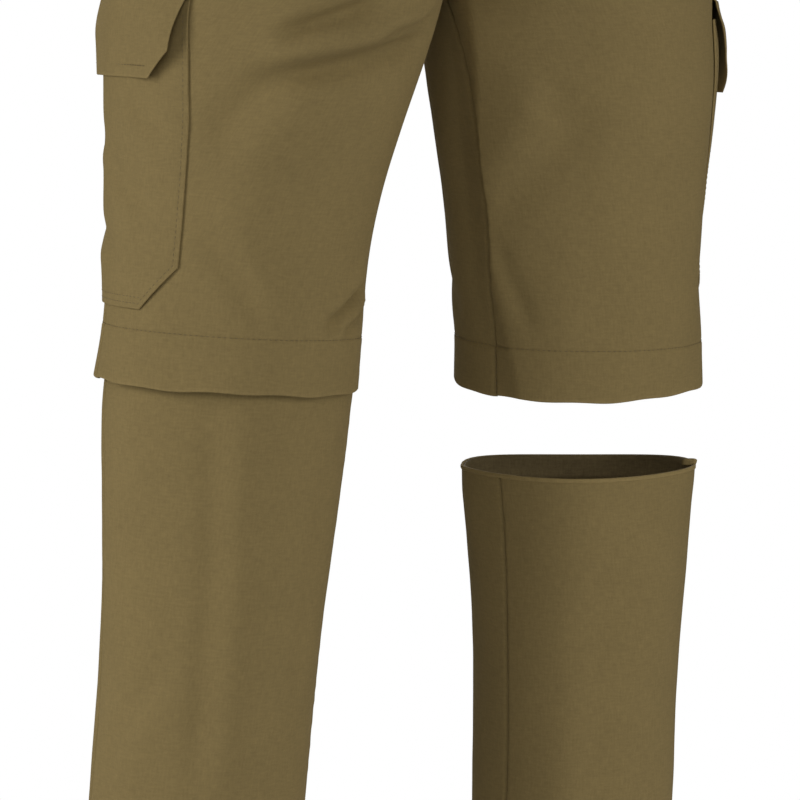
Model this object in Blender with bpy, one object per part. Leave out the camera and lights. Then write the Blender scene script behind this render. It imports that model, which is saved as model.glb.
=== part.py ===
"""Convertible zip-off trousers, filled out as worn, with the left lower leg unzipped.

Metres, +Z up, the front towards -Y and the wearer's right leg on -X. The origin is the middle
of the waist opening at half the height of the waistband, where a wearer holds the trousers up.

The cloth is one smooth surface for each side. Its two parameters are u, which runs round the
half from the inseam or centre front (0) over the outseam (1) to the inseam or centre back (2),
and z, the height at the leg's inner side. Every piece is a wall between two offsets from that
surface, so what lies on a panel is made from the panel's own points, moved out.
"""

import math

import bpy
import numpy as np

# Cloth and seams
WALL = 0.0012
SEAM_GAP = 0.0003
TAPE_WALL = 0.0009

# Heights of the upper half
BAND_HALF_HEIGHT = 0.020
HIP_Z = -0.125
CROTCH_Z = -0.235

# Rings of the hips: half width, and depth in front of and behind the middle
TORSO_COLUMNS = ("z", "half_width", "front", "back")
TORSO_ROWS = (
    (0.020, 0.152, 0.112, 0.106),
    (-0.020, 0.157, 0.115, 0.110),
    (-0.080, 0.176, 0.122, 0.124),
    (-0.150, 0.192, 0.122, 0.138),
    (-0.200, 0.199, 0.118, 0.137),
    (-0.235, 0.203, 0.116, 0.130),
)

# Rings of the legs. Front and back are shares of the half width. Lift is the slope that raises
# the outer side, and tilt the slope that lowers the back.
LEG_COLUMNS = ("z", "centre", "half_width", "front", "back", "centre_y", "lift", "tilt")
LEG_ROWS = {
    ("right", "upper"): (
        (-0.235, 0.1040, 0.1040, 1.08, 1.12, 0.002, 0.000, 0.0),
        (-0.270, 0.1112, 0.1024, 1.06, 1.10, 0.001, 0.020, 0.0),
        (-0.310, 0.1183, 0.0966, 1.03, 1.07, 0.000, 0.033, 0.0),
        (-0.350, 0.1257, 0.0904, 1.01, 1.05, 0.000, 0.045, 0.0),
        (-0.390, 0.1326, 0.0850, 1.00, 1.05, 0.000, 0.055, 0.0),
        (-0.430, 0.1388, 0.0817, 1.00, 1.05, 0.000, 0.064, 0.0),
        (-0.477, 0.1436, 0.0809, 1.00, 1.05, 0.000, 0.070, 0.0),
        (-0.511, 0.1479, 0.0823, 1.00, 1.05, 0.000, 0.070, 0.0),
    ),
    ("left", "upper"): (
        (-0.235, 0.0955, 0.0955, 1.10, 1.15, 0.002, 0.000, 0.0),
        (-0.275, 0.0960, 0.0939, 1.06, 1.10, 0.001, 0.000, 0.0),
        (-0.315, 0.0998, 0.0922, 1.03, 1.07, 0.000, 0.000, 0.0),
        (-0.355, 0.1022, 0.0888, 1.01, 1.05, 0.000, 0.000, 0.0),
        (-0.400, 0.1034, 0.0843, 1.00, 1.05, 0.000, 0.000, 0.0),
        (-0.445, 0.1037, 0.0821, 1.00, 1.05, 0.000, -0.004, -0.008),
        (-0.487, 0.1060, 0.0808, 1.00, 1.05, 0.000, -0.012, -0.022),
        (-0.519, 0.1067, 0.0811, 1.00, 1.05, 0.000, 0.022, -0.058),
    ),
    ("right", "lower"): (
        (-0.4815, 0.1437, 0.0778, 0.99, 1.03, 0.000, 0.070, 0.0),
        (-0.530, 0.1473, 0.0775, 0.96, 0.98, 0.001, 0.070, 0.0),
        (-0.580, 0.1489, 0.0741, 0.96, 0.98, 0.003, 0.070, 0.0),
        (-0.630, 0.1516, 0.0716, 0.96, 0.98, 0.005, 0.068, 0.0),
        (-0.680, 0.1558, 0.0705, 0.96, 0.98, 0.007, 0.064, 0.0),
        (-0.770, 0.1644, 0.0681, 0.96, 0.98, 0.010, 0.056, 0.0),
        (-0.880, 0.1730, 0.0662, 0.96, 0.98, 0.015, 0.046, 0.0),
        (-1.012, 0.1825, 0.0645, 0.96, 0.98, 0.020, 0.034, 0.0),
    ),
    ("left", "lower"): (
        (-0.5735, 0.1075, 0.0779, 0.95, 0.95, 0.000, -0.014, 0.027),
        (-0.600, 0.1084, 0.0757, 0.95, 0.95, 0.001, -0.010, 0.020),
        (-0.640, 0.1093, 0.0732, 0.95, 0.96, 0.002, -0.006, 0.012),
        (-0.690, 0.1091, 0.0704, 0.95, 0.97, 0.003, 0.000, 0.004),
        (-0.740, 0.1081, 0.0680, 0.95, 0.98, 0.004, 0.000, 0.0),
        (-0.790, 0.1070, 0.0670, 0.95, 0.98, 0.005, 0.000, 0.0),
        (-0.940, 0.1050, 0.0656, 0.95, 0.98, 0.010, 0.000, 0.0),
        (-1.103, 0.1025, 0.0645, 0.95, 0.98, 0.015, 0.000, 0.0),
    ),
}

# The unzipped leg's mouth: pinched to a corner at both ends of the line along which it is
# flattened, with the corners raised. Both fade out below the rim.
MOUTH_TURN = 27.0
MOUTH_PINCH = 0.25
MOUTH_CORNER = 0.0020
MOUTH_SHOULDER = 0.0022
MOUTH_REACH = 0.090

# Where the leg's seams run, in degrees round the ring from its inner side, by the drop below
# the crotch. The inseam sits a little forward and the outseam a little back.
SEAM_COLUMNS = ("drop", "inseam", "outseam")
SEAM_ROWS = (
    (0.000, 0.0, 186.0),
    (0.040, 10.0, 188.0),
    (0.120, 15.0, 190.0),
    (0.290, 20.0, 192.0),
)
HIP_OUTSEAM = 96.0
HIP_GATHER = 0.65
CROTCH_REACH = 6

# Levels of each leg: top stitch of the hem band, zip, hem, and the lower leg's ends
LEVELS = {
    "right": {"stitch": -0.4770, "zip": -0.4815, "hem": -0.5110, "rim": -0.4818, "ankle": -1.012},
    "left": {"stitch": -0.4870, "zip": -0.4915, "hem": -0.5190, "rim": -0.5735, "ankle": -1.103},
}

# Largest folds: soft troughs from one point of the surface to another
FOLD_COLUMNS = ("u0", "z0", "u1", "z1", "width", "depth")
FOLD_ROWS = {
    ("right", "upper"): (
        (0.08, -0.262, 0.46, -0.315, 0.015, 0.0045),
        (0.16, -0.243, 0.44, -0.268, 0.014, 0.0035),
        (1.70, -0.285, 1.35, -0.345, 0.017, 0.0040),
    ),
    ("left", "upper"): (
        (0.20, -0.390, 0.50, -0.310, 0.020, 0.0030),
        (1.72, -0.300, 1.40, -0.350, 0.017, 0.0035),
    ),
    ("right", "lower"): (
        (0.56, -0.520, 0.52, -0.780, 0.016, 0.0030),
        (1.50, -0.640, 1.44, -0.900, 0.018, 0.0030),
    ),
    ("left", "lower"): (
        (0.30, -0.640, 0.34, -0.860, 0.018, 0.0025),
        (1.50, -0.700, 1.56, -0.920, 0.018, 0.0030),
    ),
}
FOLD_METRES_PER_U = 0.26

# Grid of the panels
FRONT_COLUMNS = 16
BACK_COLUMNS = 13
LOWER_COLUMNS = 11
LOWER_ROWS = 15
BAND_ROWS = 3

# Front and back columns of the zips' rims: those of the cloth that lies closest to each
RIM_COLUMNS = {"right": (FRONT_COLUMNS, BACK_COLUMNS), "left": (LOWER_COLUMNS, LOWER_COLUMNS)}

# Zip: the tape sewn inside each half, and the rolled edge with the teeth
TAPE_TOP_DROP = 0.0015
TAPE_INNER = 0.0015
LOWER_TAPE_HEIGHT = 0.014
RIM_HEIGHT = 0.003
RIM_OUT = 0.0007
RIM_IN = 0.0014

# Waistband
BAND_OUT = 0.0010
BAND_IN = 0.0014
BAND_OVER = 0.0027
BAND_UNDER_END = 0.025
BAND_OVER_END = -0.030
BAND_RAMP = 0.030

# Button and fly
BUTTON_RADIUS = 0.0085
BUTTON_THICKNESS = 0.003
BUTTON_X = -0.018
FLY_COLUMNS = 3
FLY_ROWS = 6

# Cargo pocket and flap, measured from the outseam and from the hem band's stitch line
POCKET_HALF_WIDTH = 0.076
POCKET_ABOVE_STITCH = 0.0125
POCKET_HEIGHT = 0.190
POCKET_CHAMFER = 0.028
POCKET_BASE = 0.0007
POCKET_RISE = 0.022
FLAP_HEIGHT = 0.062
FLAP_HALF_WIDTH = 0.077
FLAP_TAPER = 0.014
FLAP_CHAMFER_X = 0.013
FLAP_CHAMFER_Z = 0.018
FLAP_CLEAR = 0.0004
FLAP_MIDDLE = 0.050

# What differs between the two sides. The first two are pairs, at the pocket's bottom and top: how
# far its middle lies behind the outseam, and how far its belly stands out.
POCKET_SHIFT = {"right": (-0.004, -0.007), "left": (0.016, 0.000)}
POCKET_BELLY = {"right": (0.0010, 0.0012), "left": (0.0014, 0.0034)}
FLAP_ABOVE_POCKET_BOTTOM = {"right": 0.1445, "left": 0.1460}
FLAP_STANDOFF = {"right": 0.0030, "left": 0.0030}

CLOTH_COLOUR = (0.165, 0.122, 0.052)
CLOTH_ROUGHNESS = 0.92

SIDES = {"right": -1.0, "left": 1.0}


def table(columns, rows):
    """The named columns of a short table, with its rows in rising order of the first column."""
    values = np.array(sorted(rows))
    return {name: values[:, i] for i, name in enumerate(columns)}


def curve(rows, name, at):
    """A smooth curve through one column, level at its last row.

    It is made of cubic pieces whose slopes come from the neighbouring rows.
    """
    keys = rows["key"]
    values = rows[name]
    slopes = np.gradient(values, keys)
    slopes[-1] = 0.0
    at = np.clip(at, keys[0], keys[-1])
    i = np.clip(np.searchsorted(keys, at) - 1, 0, len(keys) - 2)
    step = keys[i + 1] - keys[i]
    t = (at - keys[i]) / step
    start = (1 + 2 * t) * (1 - t) ** 2 * values[i] + t * (1 - t) ** 2 * step * slopes[i]
    end = t * t * (3 - 2 * t) * values[i + 1] + t * t * (t - 1) * step * slopes[i + 1]
    return start + end


def keyed(columns, rows):
    """A table whose first column is the one that curves are read along."""
    out = table(columns, rows)
    out["key"] = out[columns[0]]
    return out


TORSO = keyed(TORSO_COLUMNS, TORSO_ROWS)
SEAMS = keyed(SEAM_COLUMNS, SEAM_ROWS)
LEGS = {key: keyed(LEG_COLUMNS, rows) for key, rows in LEG_ROWS.items()}


def smoothstep(t):
    """Rises from 0 to 1 with level ends."""
    t = np.clip(t, 0.0, 1.0)
    return t * t * (3.0 - 2.0 * t)


def two_halves(u, start, middle, end):
    """Runs from start over middle to end as u runs from 0 over 1 to 2."""
    return np.where(u < 1.0, start + (middle - start) * u, middle + (end - middle) * (u - 1.0))


def leg_ring(leg, part, u, z):
    """A point of the leg: an ellipse round the leg's own middle, with a sloping level."""
    rows = LEGS[leg, part]
    inseam = curve(SEAMS, "inseam", CROTCH_Z - z)
    outseam = curve(SEAMS, "outseam", CROTCH_Z - z)
    angle = np.radians(two_halves(u, inseam, outseam, 360.0 + inseam))
    half_width = curve(rows, "half_width", z)
    share = np.where(np.sin(angle) > 0.0, curve(rows, "front", z), curve(rows, "back", z))
    across = half_width * (1.0 - np.cos(angle))
    forward = half_width * share * np.sin(angle)
    x = curve(rows, "centre", z) - half_width + across
    y = curve(rows, "centre_y", z) - forward
    height = z + curve(rows, "lift", z) * across + curve(rows, "tilt", z) * forward
    points = np.stack([x, y, height], axis=-1)
    if (leg, part) == ("left", "lower"):
        middle = np.stack([curve(rows, "centre", z), curve(rows, "centre_y", z)], axis=-1)
        points = shape_mouth(points, middle, half_width, z)
    return points


def shape_mouth(points, middle, radius, z):
    """Flattens the unzipped leg's top into a lens with two raised corners and a flat back edge."""
    turn = math.radians(MOUTH_TURN)
    along = np.array([math.cos(turn), -math.sin(turn)])
    across = np.array([math.sin(turn), math.cos(turn)])
    out = points[..., :2] - middle
    depth = out @ across
    share = np.abs(depth) / radius
    fade = 1.0 - smoothstep((LEVELS["left"]["rim"] - z) / MOUTH_REACH)
    depth = depth * (1.0 - MOUTH_PINCH * fade * (1.0 - share))
    flat = middle + (out @ along)[..., None] * along + depth[..., None] * across
    share = np.minimum(share, 1.0)
    raised = MOUTH_CORNER * (1.0 - share**2)
    raised = raised + MOUTH_SHOULDER * (depth > 0.0) * 4.0 * share * (1.0 - share)
    height = points[..., 2] + fade * raised
    return np.concatenate([flat, height[..., None]], axis=-1)


def hip_angle(u, z):
    """The angle from the centre front at a point of the hips.

    Towards the crotch the columns gather at the middle, so that each runs down its leg.
    """
    share = np.where(u < 1.0, u, 2.0 - u)
    gather = HIP_GATHER * smoothstep((BAND_HALF_HEIGHT - z) / (BAND_HALF_HEIGHT - CROTCH_Z))
    share = share * (1.0 - gather) + gather * share * np.abs(share)
    from_front = HIP_OUTSEAM * share
    from_back = 180.0 - (180.0 - HIP_OUTSEAM) * share
    return np.radians(np.where(u < 1.0, from_front, from_back))


def torso_ring(u, z):
    """A point of the hips: a flattened ellipse round the body's middle."""
    angle = hip_angle(u, z)
    depth = np.where(np.cos(angle) > 0.0, curve(TORSO, "front", z), curve(TORSO, "back", z))
    x = curve(TORSO, "half_width", z) * np.sin(angle)
    return np.stack([x, -depth * np.cos(angle), z + 0.0 * angle], axis=-1)


def fold_depth(leg, part, u, z):
    """How far the folds sink the cloth: each is a soft trough that fades at its ends."""
    depth = np.zeros(np.broadcast(u, z).shape)
    rows = table(FOLD_COLUMNS, FOLD_ROWS[leg, part])
    for i in range(len(rows["u0"])):
        run_u = (rows["u1"][i] - rows["u0"][i]) * FOLD_METRES_PER_U
        run_z = rows["z1"][i] - rows["z0"][i]
        length = math.hypot(run_u, run_z)
        from_u = (u - rows["u0"][i]) * FOLD_METRES_PER_U
        from_z = z - rows["z0"][i]
        along = (from_u * run_u + from_z * run_z) / length**2
        aside = (from_u * run_z - from_z * run_u) / length
        fade = smoothstep((along + 0.1) / 0.3) * smoothstep((1.1 - along) / 0.3)
        depth = depth + rows["depth"][i] * fade * np.exp(-((aside / rows["width"][i]) ** 2))
    return depth


def smooth_form(leg, part, u, z):
    """The cloth before its folds, in the leg's own frame with the outer side at +X.

    Above the crotch the leg's ring turns into the hips' ring. Along the centre seam it does so
    on a quarter ellipse, which is the curve of the crotch seam, and away from it more gently.
    """
    ring = leg_ring(leg, part, u, z)
    if part == "lower":
        return ring
    rise = np.clip((z - CROTCH_Z) / (HIP_Z - CROTCH_Z), 0.0, 1.0)
    from_middle = 1.0 - np.cos(0.5 * math.pi * u) ** CROTCH_REACH
    weight = (1.0 - (1.0 - rise) ** 2) ** (0.5 + 1.5 * from_middle)
    weight = weight[..., None]
    return ring * (1.0 - weight) + torso_ring(u, z) * weight


def outward(form, u, z):
    """The outward normal of a surface, from the cross product of its two finite differences."""
    du, dz = 0.004, 0.0015
    across = form(u + du, z) - form(u - du, z)
    upward = form(u, z + dz) - form(u, z - dz)
    normal = np.cross(across, upward)
    return normal / np.linalg.norm(normal, axis=-1, keepdims=True)


def folded_form(leg, part, u, z):
    """The cloth's outer surface with its folds."""
    form = lambda a, b: smooth_form(leg, part, a, b)
    sink = fold_depth(leg, part, u, z)[..., None]
    return form(u, z) - outward(form, u, z) * sink


def cloth(leg, part, u, z, offset):
    """Points moved out from the cloth's surface by an offset, in world coordinates."""
    u, z = np.broadcast_arrays(np.asarray(u, float), np.asarray(z, float))
    form = lambda a, b: folded_form(leg, part, a, b)
    offset = np.broadcast_to(np.asarray(offset, float), u.shape)[..., None]
    points = form(u, z) + outward(form, u, z) * offset
    if part == "upper":
        points[..., 0] = np.maximum(points[..., 0], 0.5 * SEAM_GAP)
    points[..., 0] *= SIDES[leg]
    return points


def metres_per_u(leg, part, u, z):
    """How many metres of cloth one step of u covers at a point."""
    du = 0.05
    step = folded_form(leg, part, u + du, z) - folded_form(leg, part, u - du, z)
    return np.linalg.norm(step, axis=-1) / (2.0 * du)


def material(name, colour, roughness, metallic=0.0):
    """A plain Principled material for one sub-part."""
    made = bpy.data.materials.new(name)
    made.use_nodes = True
    shader = made.node_tree.nodes["Principled BSDF"]
    shader.inputs["Base Color"].default_value = (*colour, 1.0)
    shader.inputs["Roughness"].default_value = roughness
    shader.inputs["Metallic"].default_value = metallic
    return made


def add_solid(name, points, faces, colour=CLOTH_COLOUR, roughness=CLOTH_ROUGHNESS):
    """One named object with its own material."""
    mesh = bpy.data.meshes.new(name)
    mesh.from_pydata([tuple(p) for p in points], [], [tuple(int(i) for i in f) for f in faces])
    mesh.update()
    mesh.shade_smooth()
    mesh.set_sharp_from_angle(angle=math.radians(50.0))
    mesh.materials.append(material(name, colour, roughness))
    obj = bpy.data.objects.new(name, mesh)
    bpy.context.scene.collection.objects.link(obj)
    return obj


def wall_faces(rows, columns, closed):
    """Triangles of a wall between an outer and an inner grid, stored one after the other.

    Both grids split their quads along the same diagonal. Closed walls run all the way round.
    """
    total = rows * columns
    spans = columns if closed else columns - 1
    row, col = np.meshgrid(np.arange(rows - 1), np.arange(spans), indexing="ij")
    a = (row * columns + col).ravel()
    b = (row * columns + (col + 1) % columns).ravel()
    c = ((row + 1) * columns + (col + 1) % columns).ravel()
    d = ((row + 1) * columns + col).ravel()
    outer = np.concatenate([np.stack([a, d, c], 1), np.stack([a, c, b], 1)])
    inner = outer[:, ::-1] + total

    rim = np.arange(columns)
    edges = [np.stack([rim, np.roll(rim, -1)], 1)[:spans]]
    last = (rows - 1) * columns + rim
    edges.append(np.stack([np.roll(last, -1), last], 1)[:spans])
    if not closed:
        side = np.arange(rows) * columns
        edges.append(np.stack([side[1:], side[:-1]], 1))
        edges.append(np.stack([side[:-1], side[1:]], 1) + columns - 1)
    p, q = np.concatenate(edges).T
    border = np.concatenate([np.stack([p, q, q + total], 1), np.stack([p, q + total, p + total], 1)])
    return np.concatenate([outer, inner, border])


def add_wall(name, leg, outer, inner, closed=False, **look):
    """A closed wall between two grids whose rows run downwards."""
    rows, columns = outer.shape[:2]
    faces = wall_faces(rows, columns, closed)
    if SIDES[leg] < 0.0:
        faces = faces[:, ::-1]
    points = np.concatenate([outer.reshape(-1, 3), inner.reshape(-1, 3)])
    return add_solid(name, points, faces, **look)


def seam_inset(leg, part, edge, z):
    """The share of u that half of the gap at a seam takes up."""
    return 0.5 * SEAM_GAP / metres_per_u(leg, part, edge, z)


def panel_grid(leg, part, first, last, columns, heights):
    """A panel's own u and z: even columns, drawn back from both seams by half the gap."""
    z = np.asarray(heights)[:, None]
    left = first + seam_inset(leg, part, np.full_like(z, first), z)
    right = last - seam_inset(leg, part, np.full_like(z, last), z)
    return left + (right - left) * np.linspace(0.0, 1.0, columns)[None, :], z


def add_panel(name, leg, part, first, last, columns, heights):
    """One cut panel of cloth from one seam to the next."""
    u, z = panel_grid(leg, part, first, last, columns, heights)
    outer = cloth(leg, part, u, z, 0.0)
    inner = cloth(leg, part, u, z, -WALL)
    return add_wall(name, leg, outer, inner)


def upper_heights(leg):
    """Levels of an upper panel's rows: even on the hips, closer at the crotch, even on the leg."""
    levels = LEVELS[leg]
    hips = np.linspace(-BAND_HALF_HEIGHT - SEAM_GAP, HIP_Z, 5)
    turn = np.radians(np.arange(75.0, -1.0, -15.0))
    saddle = CROTCH_Z + (HIP_Z - CROTCH_Z) * (1.0 - np.cos(turn))
    thigh = np.linspace(CROTCH_Z, levels["stitch"], 14)[1:]
    return np.concatenate([hips, saddle, thigh, [levels["zip"], levels["hem"]]])


def add_upper_panels():
    """Front and back of both upper legs, each from the waistband to the hem."""
    for leg in SIDES:
        heights = upper_heights(leg)
        add_panel(f"front_{leg}", leg, "upper", 0.0, 1.0, FRONT_COLUMNS, heights)
        add_panel(f"back_{leg}", leg, "upper", 1.0, 2.0, BACK_COLUMNS, heights)


def add_lower_panels():
    """Front and back of both lower legs, each from the zip to the ankle."""
    for leg, levels in LEVELS.items():
        top = levels["rim"] - RIM_HEIGHT - SEAM_GAP
        below_tape = np.linspace(top - LOWER_TAPE_HEIGHT, levels["ankle"], LOWER_ROWS)
        heights = np.concatenate([[top], below_tape])
        add_panel(f"lower_front_{leg}", leg, "lower", 0.0, 1.0, LOWER_COLUMNS, heights)
        add_panel(f"lower_back_{leg}", leg, "lower", 1.0, 2.0, LOWER_COLUMNS, heights)


def ring_columns(columns):
    """Values of u all round a leg, at the two halves' own columns."""
    front = np.linspace(0.0, 1.0, columns[0])
    back = np.linspace(1.0, 2.0, columns[1])
    return np.concatenate([front[:-1], back[:-1]])


def add_tape(name, leg, part, top, bottom, columns):
    """A zip tape sewn inside the cloth, all round the leg."""
    z = np.array([top, bottom])[:, None]
    u = ring_columns(columns)[None, :]
    outer = cloth(leg, part, u, z, -TAPE_INNER)
    inner = cloth(leg, part, u, z, -TAPE_INNER - TAPE_WALL)
    return add_wall(name, leg, outer, inner, closed=True, roughness=0.8)


def add_rim(name, leg, top, columns):
    """The rolled edge that carries the teeth: an upright rounded section carried round the leg."""
    half_height = 0.5 * RIM_HEIGHT
    middle = 0.5 * (RIM_OUT - RIM_IN)
    half_width = 0.5 * (RIM_OUT + RIM_IN)
    corner = 0.6
    section = [(1, corner), (1, -corner), (corner, -1), (-corner, -1)]
    section += [(-1, -corner), (-1, corner), (-corner, 1), (corner, 1)]
    u = ring_columns(columns)
    rings = []
    for across, up in section:
        z = top - half_height + up * half_height
        rings.append(cloth(leg, "lower", u, np.full_like(u, z), middle + across * half_width))
    points = np.stack(rings)
    count, columns = points.shape[:2]
    row, col = np.meshgrid(np.arange(count), np.arange(columns), indexing="ij")
    a = (row * columns + col).ravel()
    b = (row * columns + (col + 1) % columns).ravel()
    c = ((row + 1) % count * columns + (col + 1) % columns).ravel()
    d = ((row + 1) % count * columns + col).ravel()
    faces = np.concatenate([np.stack([a, d, c], 1), np.stack([a, c, b], 1)])
    if SIDES[leg] < 0.0:
        faces = faces[:, ::-1]
    return add_solid(name, points.reshape(-1, 3), faces, roughness=0.7)


def add_zips():
    """Both halves of each leg's zip."""
    for leg, levels in LEVELS.items():
        tape_top = levels["stitch"] - TAPE_TOP_DROP
        add_tape(
            f"zip_tape_upper_{leg}", leg, "upper", tape_top, levels["zip"],
            (FRONT_COLUMNS, BACK_COLUMNS),
        )
        add_rim(f"zip_rim_{leg}", leg, levels["rim"], RIM_COLUMNS[leg])
        low = levels["rim"] - RIM_HEIGHT - SEAM_GAP
        add_tape(
            f"zip_tape_lower_{leg}", leg, "lower", low, low - LOWER_TAPE_HEIGHT,
            (LOWER_COLUMNS, LOWER_COLUMNS),
        )


def waist_point(around, z, offset):
    """A point of the waist by its angle from the centre front, moved out by an offset."""
    def form(a, b):
        depth = np.where(np.cos(a) > 0.0, curve(TORSO, "front", b), curve(TORSO, "back", b))
        x = curve(TORSO, "half_width", b) * np.sin(a)
        return np.stack(np.broadcast_arrays(x, -depth * np.cos(a), b), axis=-1)

    offset = np.asarray(offset, float)[..., None]
    return form(around, z) + outward(form, around, z) * offset


def waist_angle(x):
    """The angle from the centre front at which the waist's front has a given x."""
    return math.asin(x / float(curve(TORSO, "half_width", 0.0)))


def add_waistband():
    """A strip round the waist whose left end lies over its right end at the centre front."""
    start = -2.0 * math.pi + waist_angle(BAND_OVER_END)
    end = waist_angle(BAND_UNDER_END)
    ramp_end = -2.0 * math.pi + waist_angle(BAND_UNDER_END + 0.004)
    ramp_start = -2.0 * math.pi + waist_angle(BAND_UNDER_END + 0.004 + BAND_RAMP)
    over = np.linspace(start, ramp_end, 5)
    ramp = np.linspace(ramp_end, ramp_start, 6)
    rest = np.linspace(ramp_start, end, 46)
    around = np.concatenate([over[:-1], ramp[:-1], rest])[None, :]
    raised = BAND_OVER * smoothstep((ramp_start - around) / (ramp_start - ramp_end))
    z = np.linspace(BAND_HALF_HEIGHT, -BAND_HALF_HEIGHT, BAND_ROWS)[:, None]
    raised, z = np.broadcast_arrays(raised, z)
    outer = waist_point(around, z, raised + BAND_OUT)
    inner = waist_point(around, z, raised - BAND_IN)
    add_wall("waistband", "left", outer, inner)


def add_button():
    """A flat round button with an eased edge and a shallow dish, on the waistband's upper end."""
    around = np.array(waist_angle(BUTTON_X))
    seat = waist_point(around, np.array(0.0), BAND_OVER + BAND_OUT + SEAM_GAP)
    normal = waist_point(around, np.array(0.0), 1.0) - waist_point(around, np.array(0.0), 0.0)
    side = np.cross(normal, (0.0, 0.0, 1.0))
    side /= np.linalg.norm(side)
    up = np.cross(normal, side)
    radius, thick = BUTTON_RADIUS, BUTTON_THICKNESS
    sagitta = radius**2 / (2.0 * 0.15)
    profile = (
        (0.80, sagitta), (1.00, sagitta + 0.3 * thick), (1.00, 0.75 * thick),
        (0.88, thick), (0.72, thick), (0.60, 0.75 * thick),
    )
    turns = np.arange(24) * 2.0 * math.pi / 24
    circle = np.cos(turns)[:, None] * side + np.sin(turns)[:, None] * up
    points = [seat + sagitta * normal]
    for share, height in profile:
        points.extend(seat + circle * radius * share + normal * height)
    points.append(seat + normal * 0.75 * thick)
    faces = []
    count = len(turns)
    for j in range(count):
        k = (j + 1) % count
        faces.append((0, 1 + k, 1 + j))
        for ring in range(len(profile) - 1):
            low = 1 + ring * count
            high = low + count
            faces.append((low + j, low + k, high + k))
            faces.append((low + j, high + k, high + j))
        top = 1 + (len(profile) - 1) * count
        faces.append((top + j, top + k, len(points) - 1))
    add_solid("waist_button", points, faces, colour=(0.060, 0.046, 0.028), roughness=0.4)


def add_fly_shield():
    """The strip behind the fly's opening, on the left front's own first columns."""
    heights = upper_heights("left")[:FLY_ROWS]
    u, z = panel_grid("left", "upper", 0.0, 1.0, FRONT_COLUMNS, heights)
    u = u[:, :FLY_COLUMNS]
    outer = cloth("left", "upper", u, z, -WALL - SEAM_GAP)
    inner = cloth("left", "upper", u, z, -2.0 * WALL - SEAM_GAP)
    add_wall("fly_shield", "left", outer, inner)


def eased(distance, reach):
    """Rises from 0 at an edge to 1 at a distance of reach, steeply at first."""
    share = np.clip(distance / reach, 0.0, 1.0)
    return 1.0 - (1.0 - share) ** 2


def pocket_span(leg):
    """The lowest and highest level of a cargo pocket."""
    bottom = LEVELS[leg]["stitch"] + POCKET_ABOVE_STITCH
    return bottom, bottom + POCKET_HEIGHT


def by_height(leg, pair, z):
    """Runs from the first value at the pocket's bottom to the second at its top."""
    bottom, top = pocket_span(leg)
    return np.interp(z, (bottom, top), pair)


def pocket_lift(leg, across, z):
    """How far the pocket's inner face stands off the panel: a low belly between its edges."""
    bottom, top = pocket_span(leg)
    side = eased(POCKET_HALF_WIDTH - np.abs(across), POCKET_RISE)
    low = eased(z - bottom, POCKET_RISE)
    high = 0.4 + 0.6 * eased(top - z, POCKET_RISE)
    return POCKET_BASE + by_height(leg, POCKET_BELLY[leg], z) * side * low * high


def pocket_patch(leg, across, z, offset):
    """Points at a distance round the leg from the pocket's middle, moved out by an offset."""
    from_seam = across + by_height(leg, POCKET_SHIFT[leg], z)
    u = 1.0 + from_seam / metres_per_u(leg, "upper", np.ones_like(z), z)
    return cloth(leg, "upper", u, z, offset)


def add_pockets():
    """The cargo pockets: a wide patch over the outseam with its two lower corners cut off."""
    for leg in SIDES:
        bottom, top = pocket_span(leg)
        z = np.concatenate([np.linspace(top, bottom + POCKET_CHAMFER, 8), [bottom + 0.014, bottom]])
        half = POCKET_HALF_WIDTH - np.maximum(0.0, POCKET_CHAMFER - (z - bottom))
        across = half[:, None] * np.linspace(-1.0, 1.0, 11)[None, :]
        z = z[:, None] + 0.0 * across
        lift = pocket_lift(leg, across, z)
        outer = pocket_patch(leg, across, z, lift + WALL)
        inner = pocket_patch(leg, across, z, lift)
        add_wall(f"cargo_pocket_{leg}", leg, outer, inner)


def add_flaps():
    """The pocket flaps: sewn above the pocket, tapering, with both lower corners cut off."""
    for leg in SIDES:
        pocket_bottom, pocket_top = pocket_span(leg)
        bottom = pocket_bottom + FLAP_ABOVE_POCKET_BOTTOM[leg]
        top = bottom + FLAP_HEIGHT
        z = np.array([top, top - 0.004, pocket_top + 0.003, pocket_top, pocket_top - 0.008])
        z = np.concatenate([z, [bottom + 0.028, bottom + FLAP_CHAMFER_Z, bottom + 0.009, bottom]])
        down = (top - z) / FLAP_HEIGHT
        cut = np.maximum(0.0, 1.0 - (z - bottom) / FLAP_CHAMFER_Z) * FLAP_CHAMFER_X
        half = FLAP_HALF_WIDTH - FLAP_TAPER * down - cut
        across = half[:, None] * np.linspace(-1.0, 1.0, 11)[None, :]
        z = z[:, None] + 0.0 * across
        over = pocket_lift(leg, across, np.minimum(z, pocket_top)) + WALL + FLAP_CLEAR
        side = smoothstep(np.abs(across) / FLAP_MIDDLE - 0.4)
        over = over + FLAP_STANDOFF[leg] * smoothstep(down / 0.6)[:, None] * side
        lift = np.where(down[:, None] > 0.0, over, POCKET_BASE)
        outer = pocket_patch(leg, across, z, lift + WALL)
        inner = pocket_patch(leg, across, z, lift)
        add_wall(f"cargo_flap_{leg}", leg, outer, inner)


def main():
    for obj in list(bpy.data.objects):
        bpy.data.objects.remove(obj)
    add_upper_panels()
    add_lower_panels()
    add_waistband()
    add_button()
    add_fly_shield()
    add_pockets()
    add_flaps()
    add_zips()


main()
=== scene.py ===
"""Convertible zip-off trousers: the cloth, seams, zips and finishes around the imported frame.

Metres, +Z up, the front towards -Y. Each side's cloth is one surface of two parameters: u runs
round the half from the inseam or centre front (0) over the outseam (1) to the inseam or centre
back (2), and z is the height at the leg's inner side. A piece is a wall between two offsets from
that surface. The wearer's right lower leg is zipped on and the left one hangs unzipped below.
"""

import math

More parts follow.
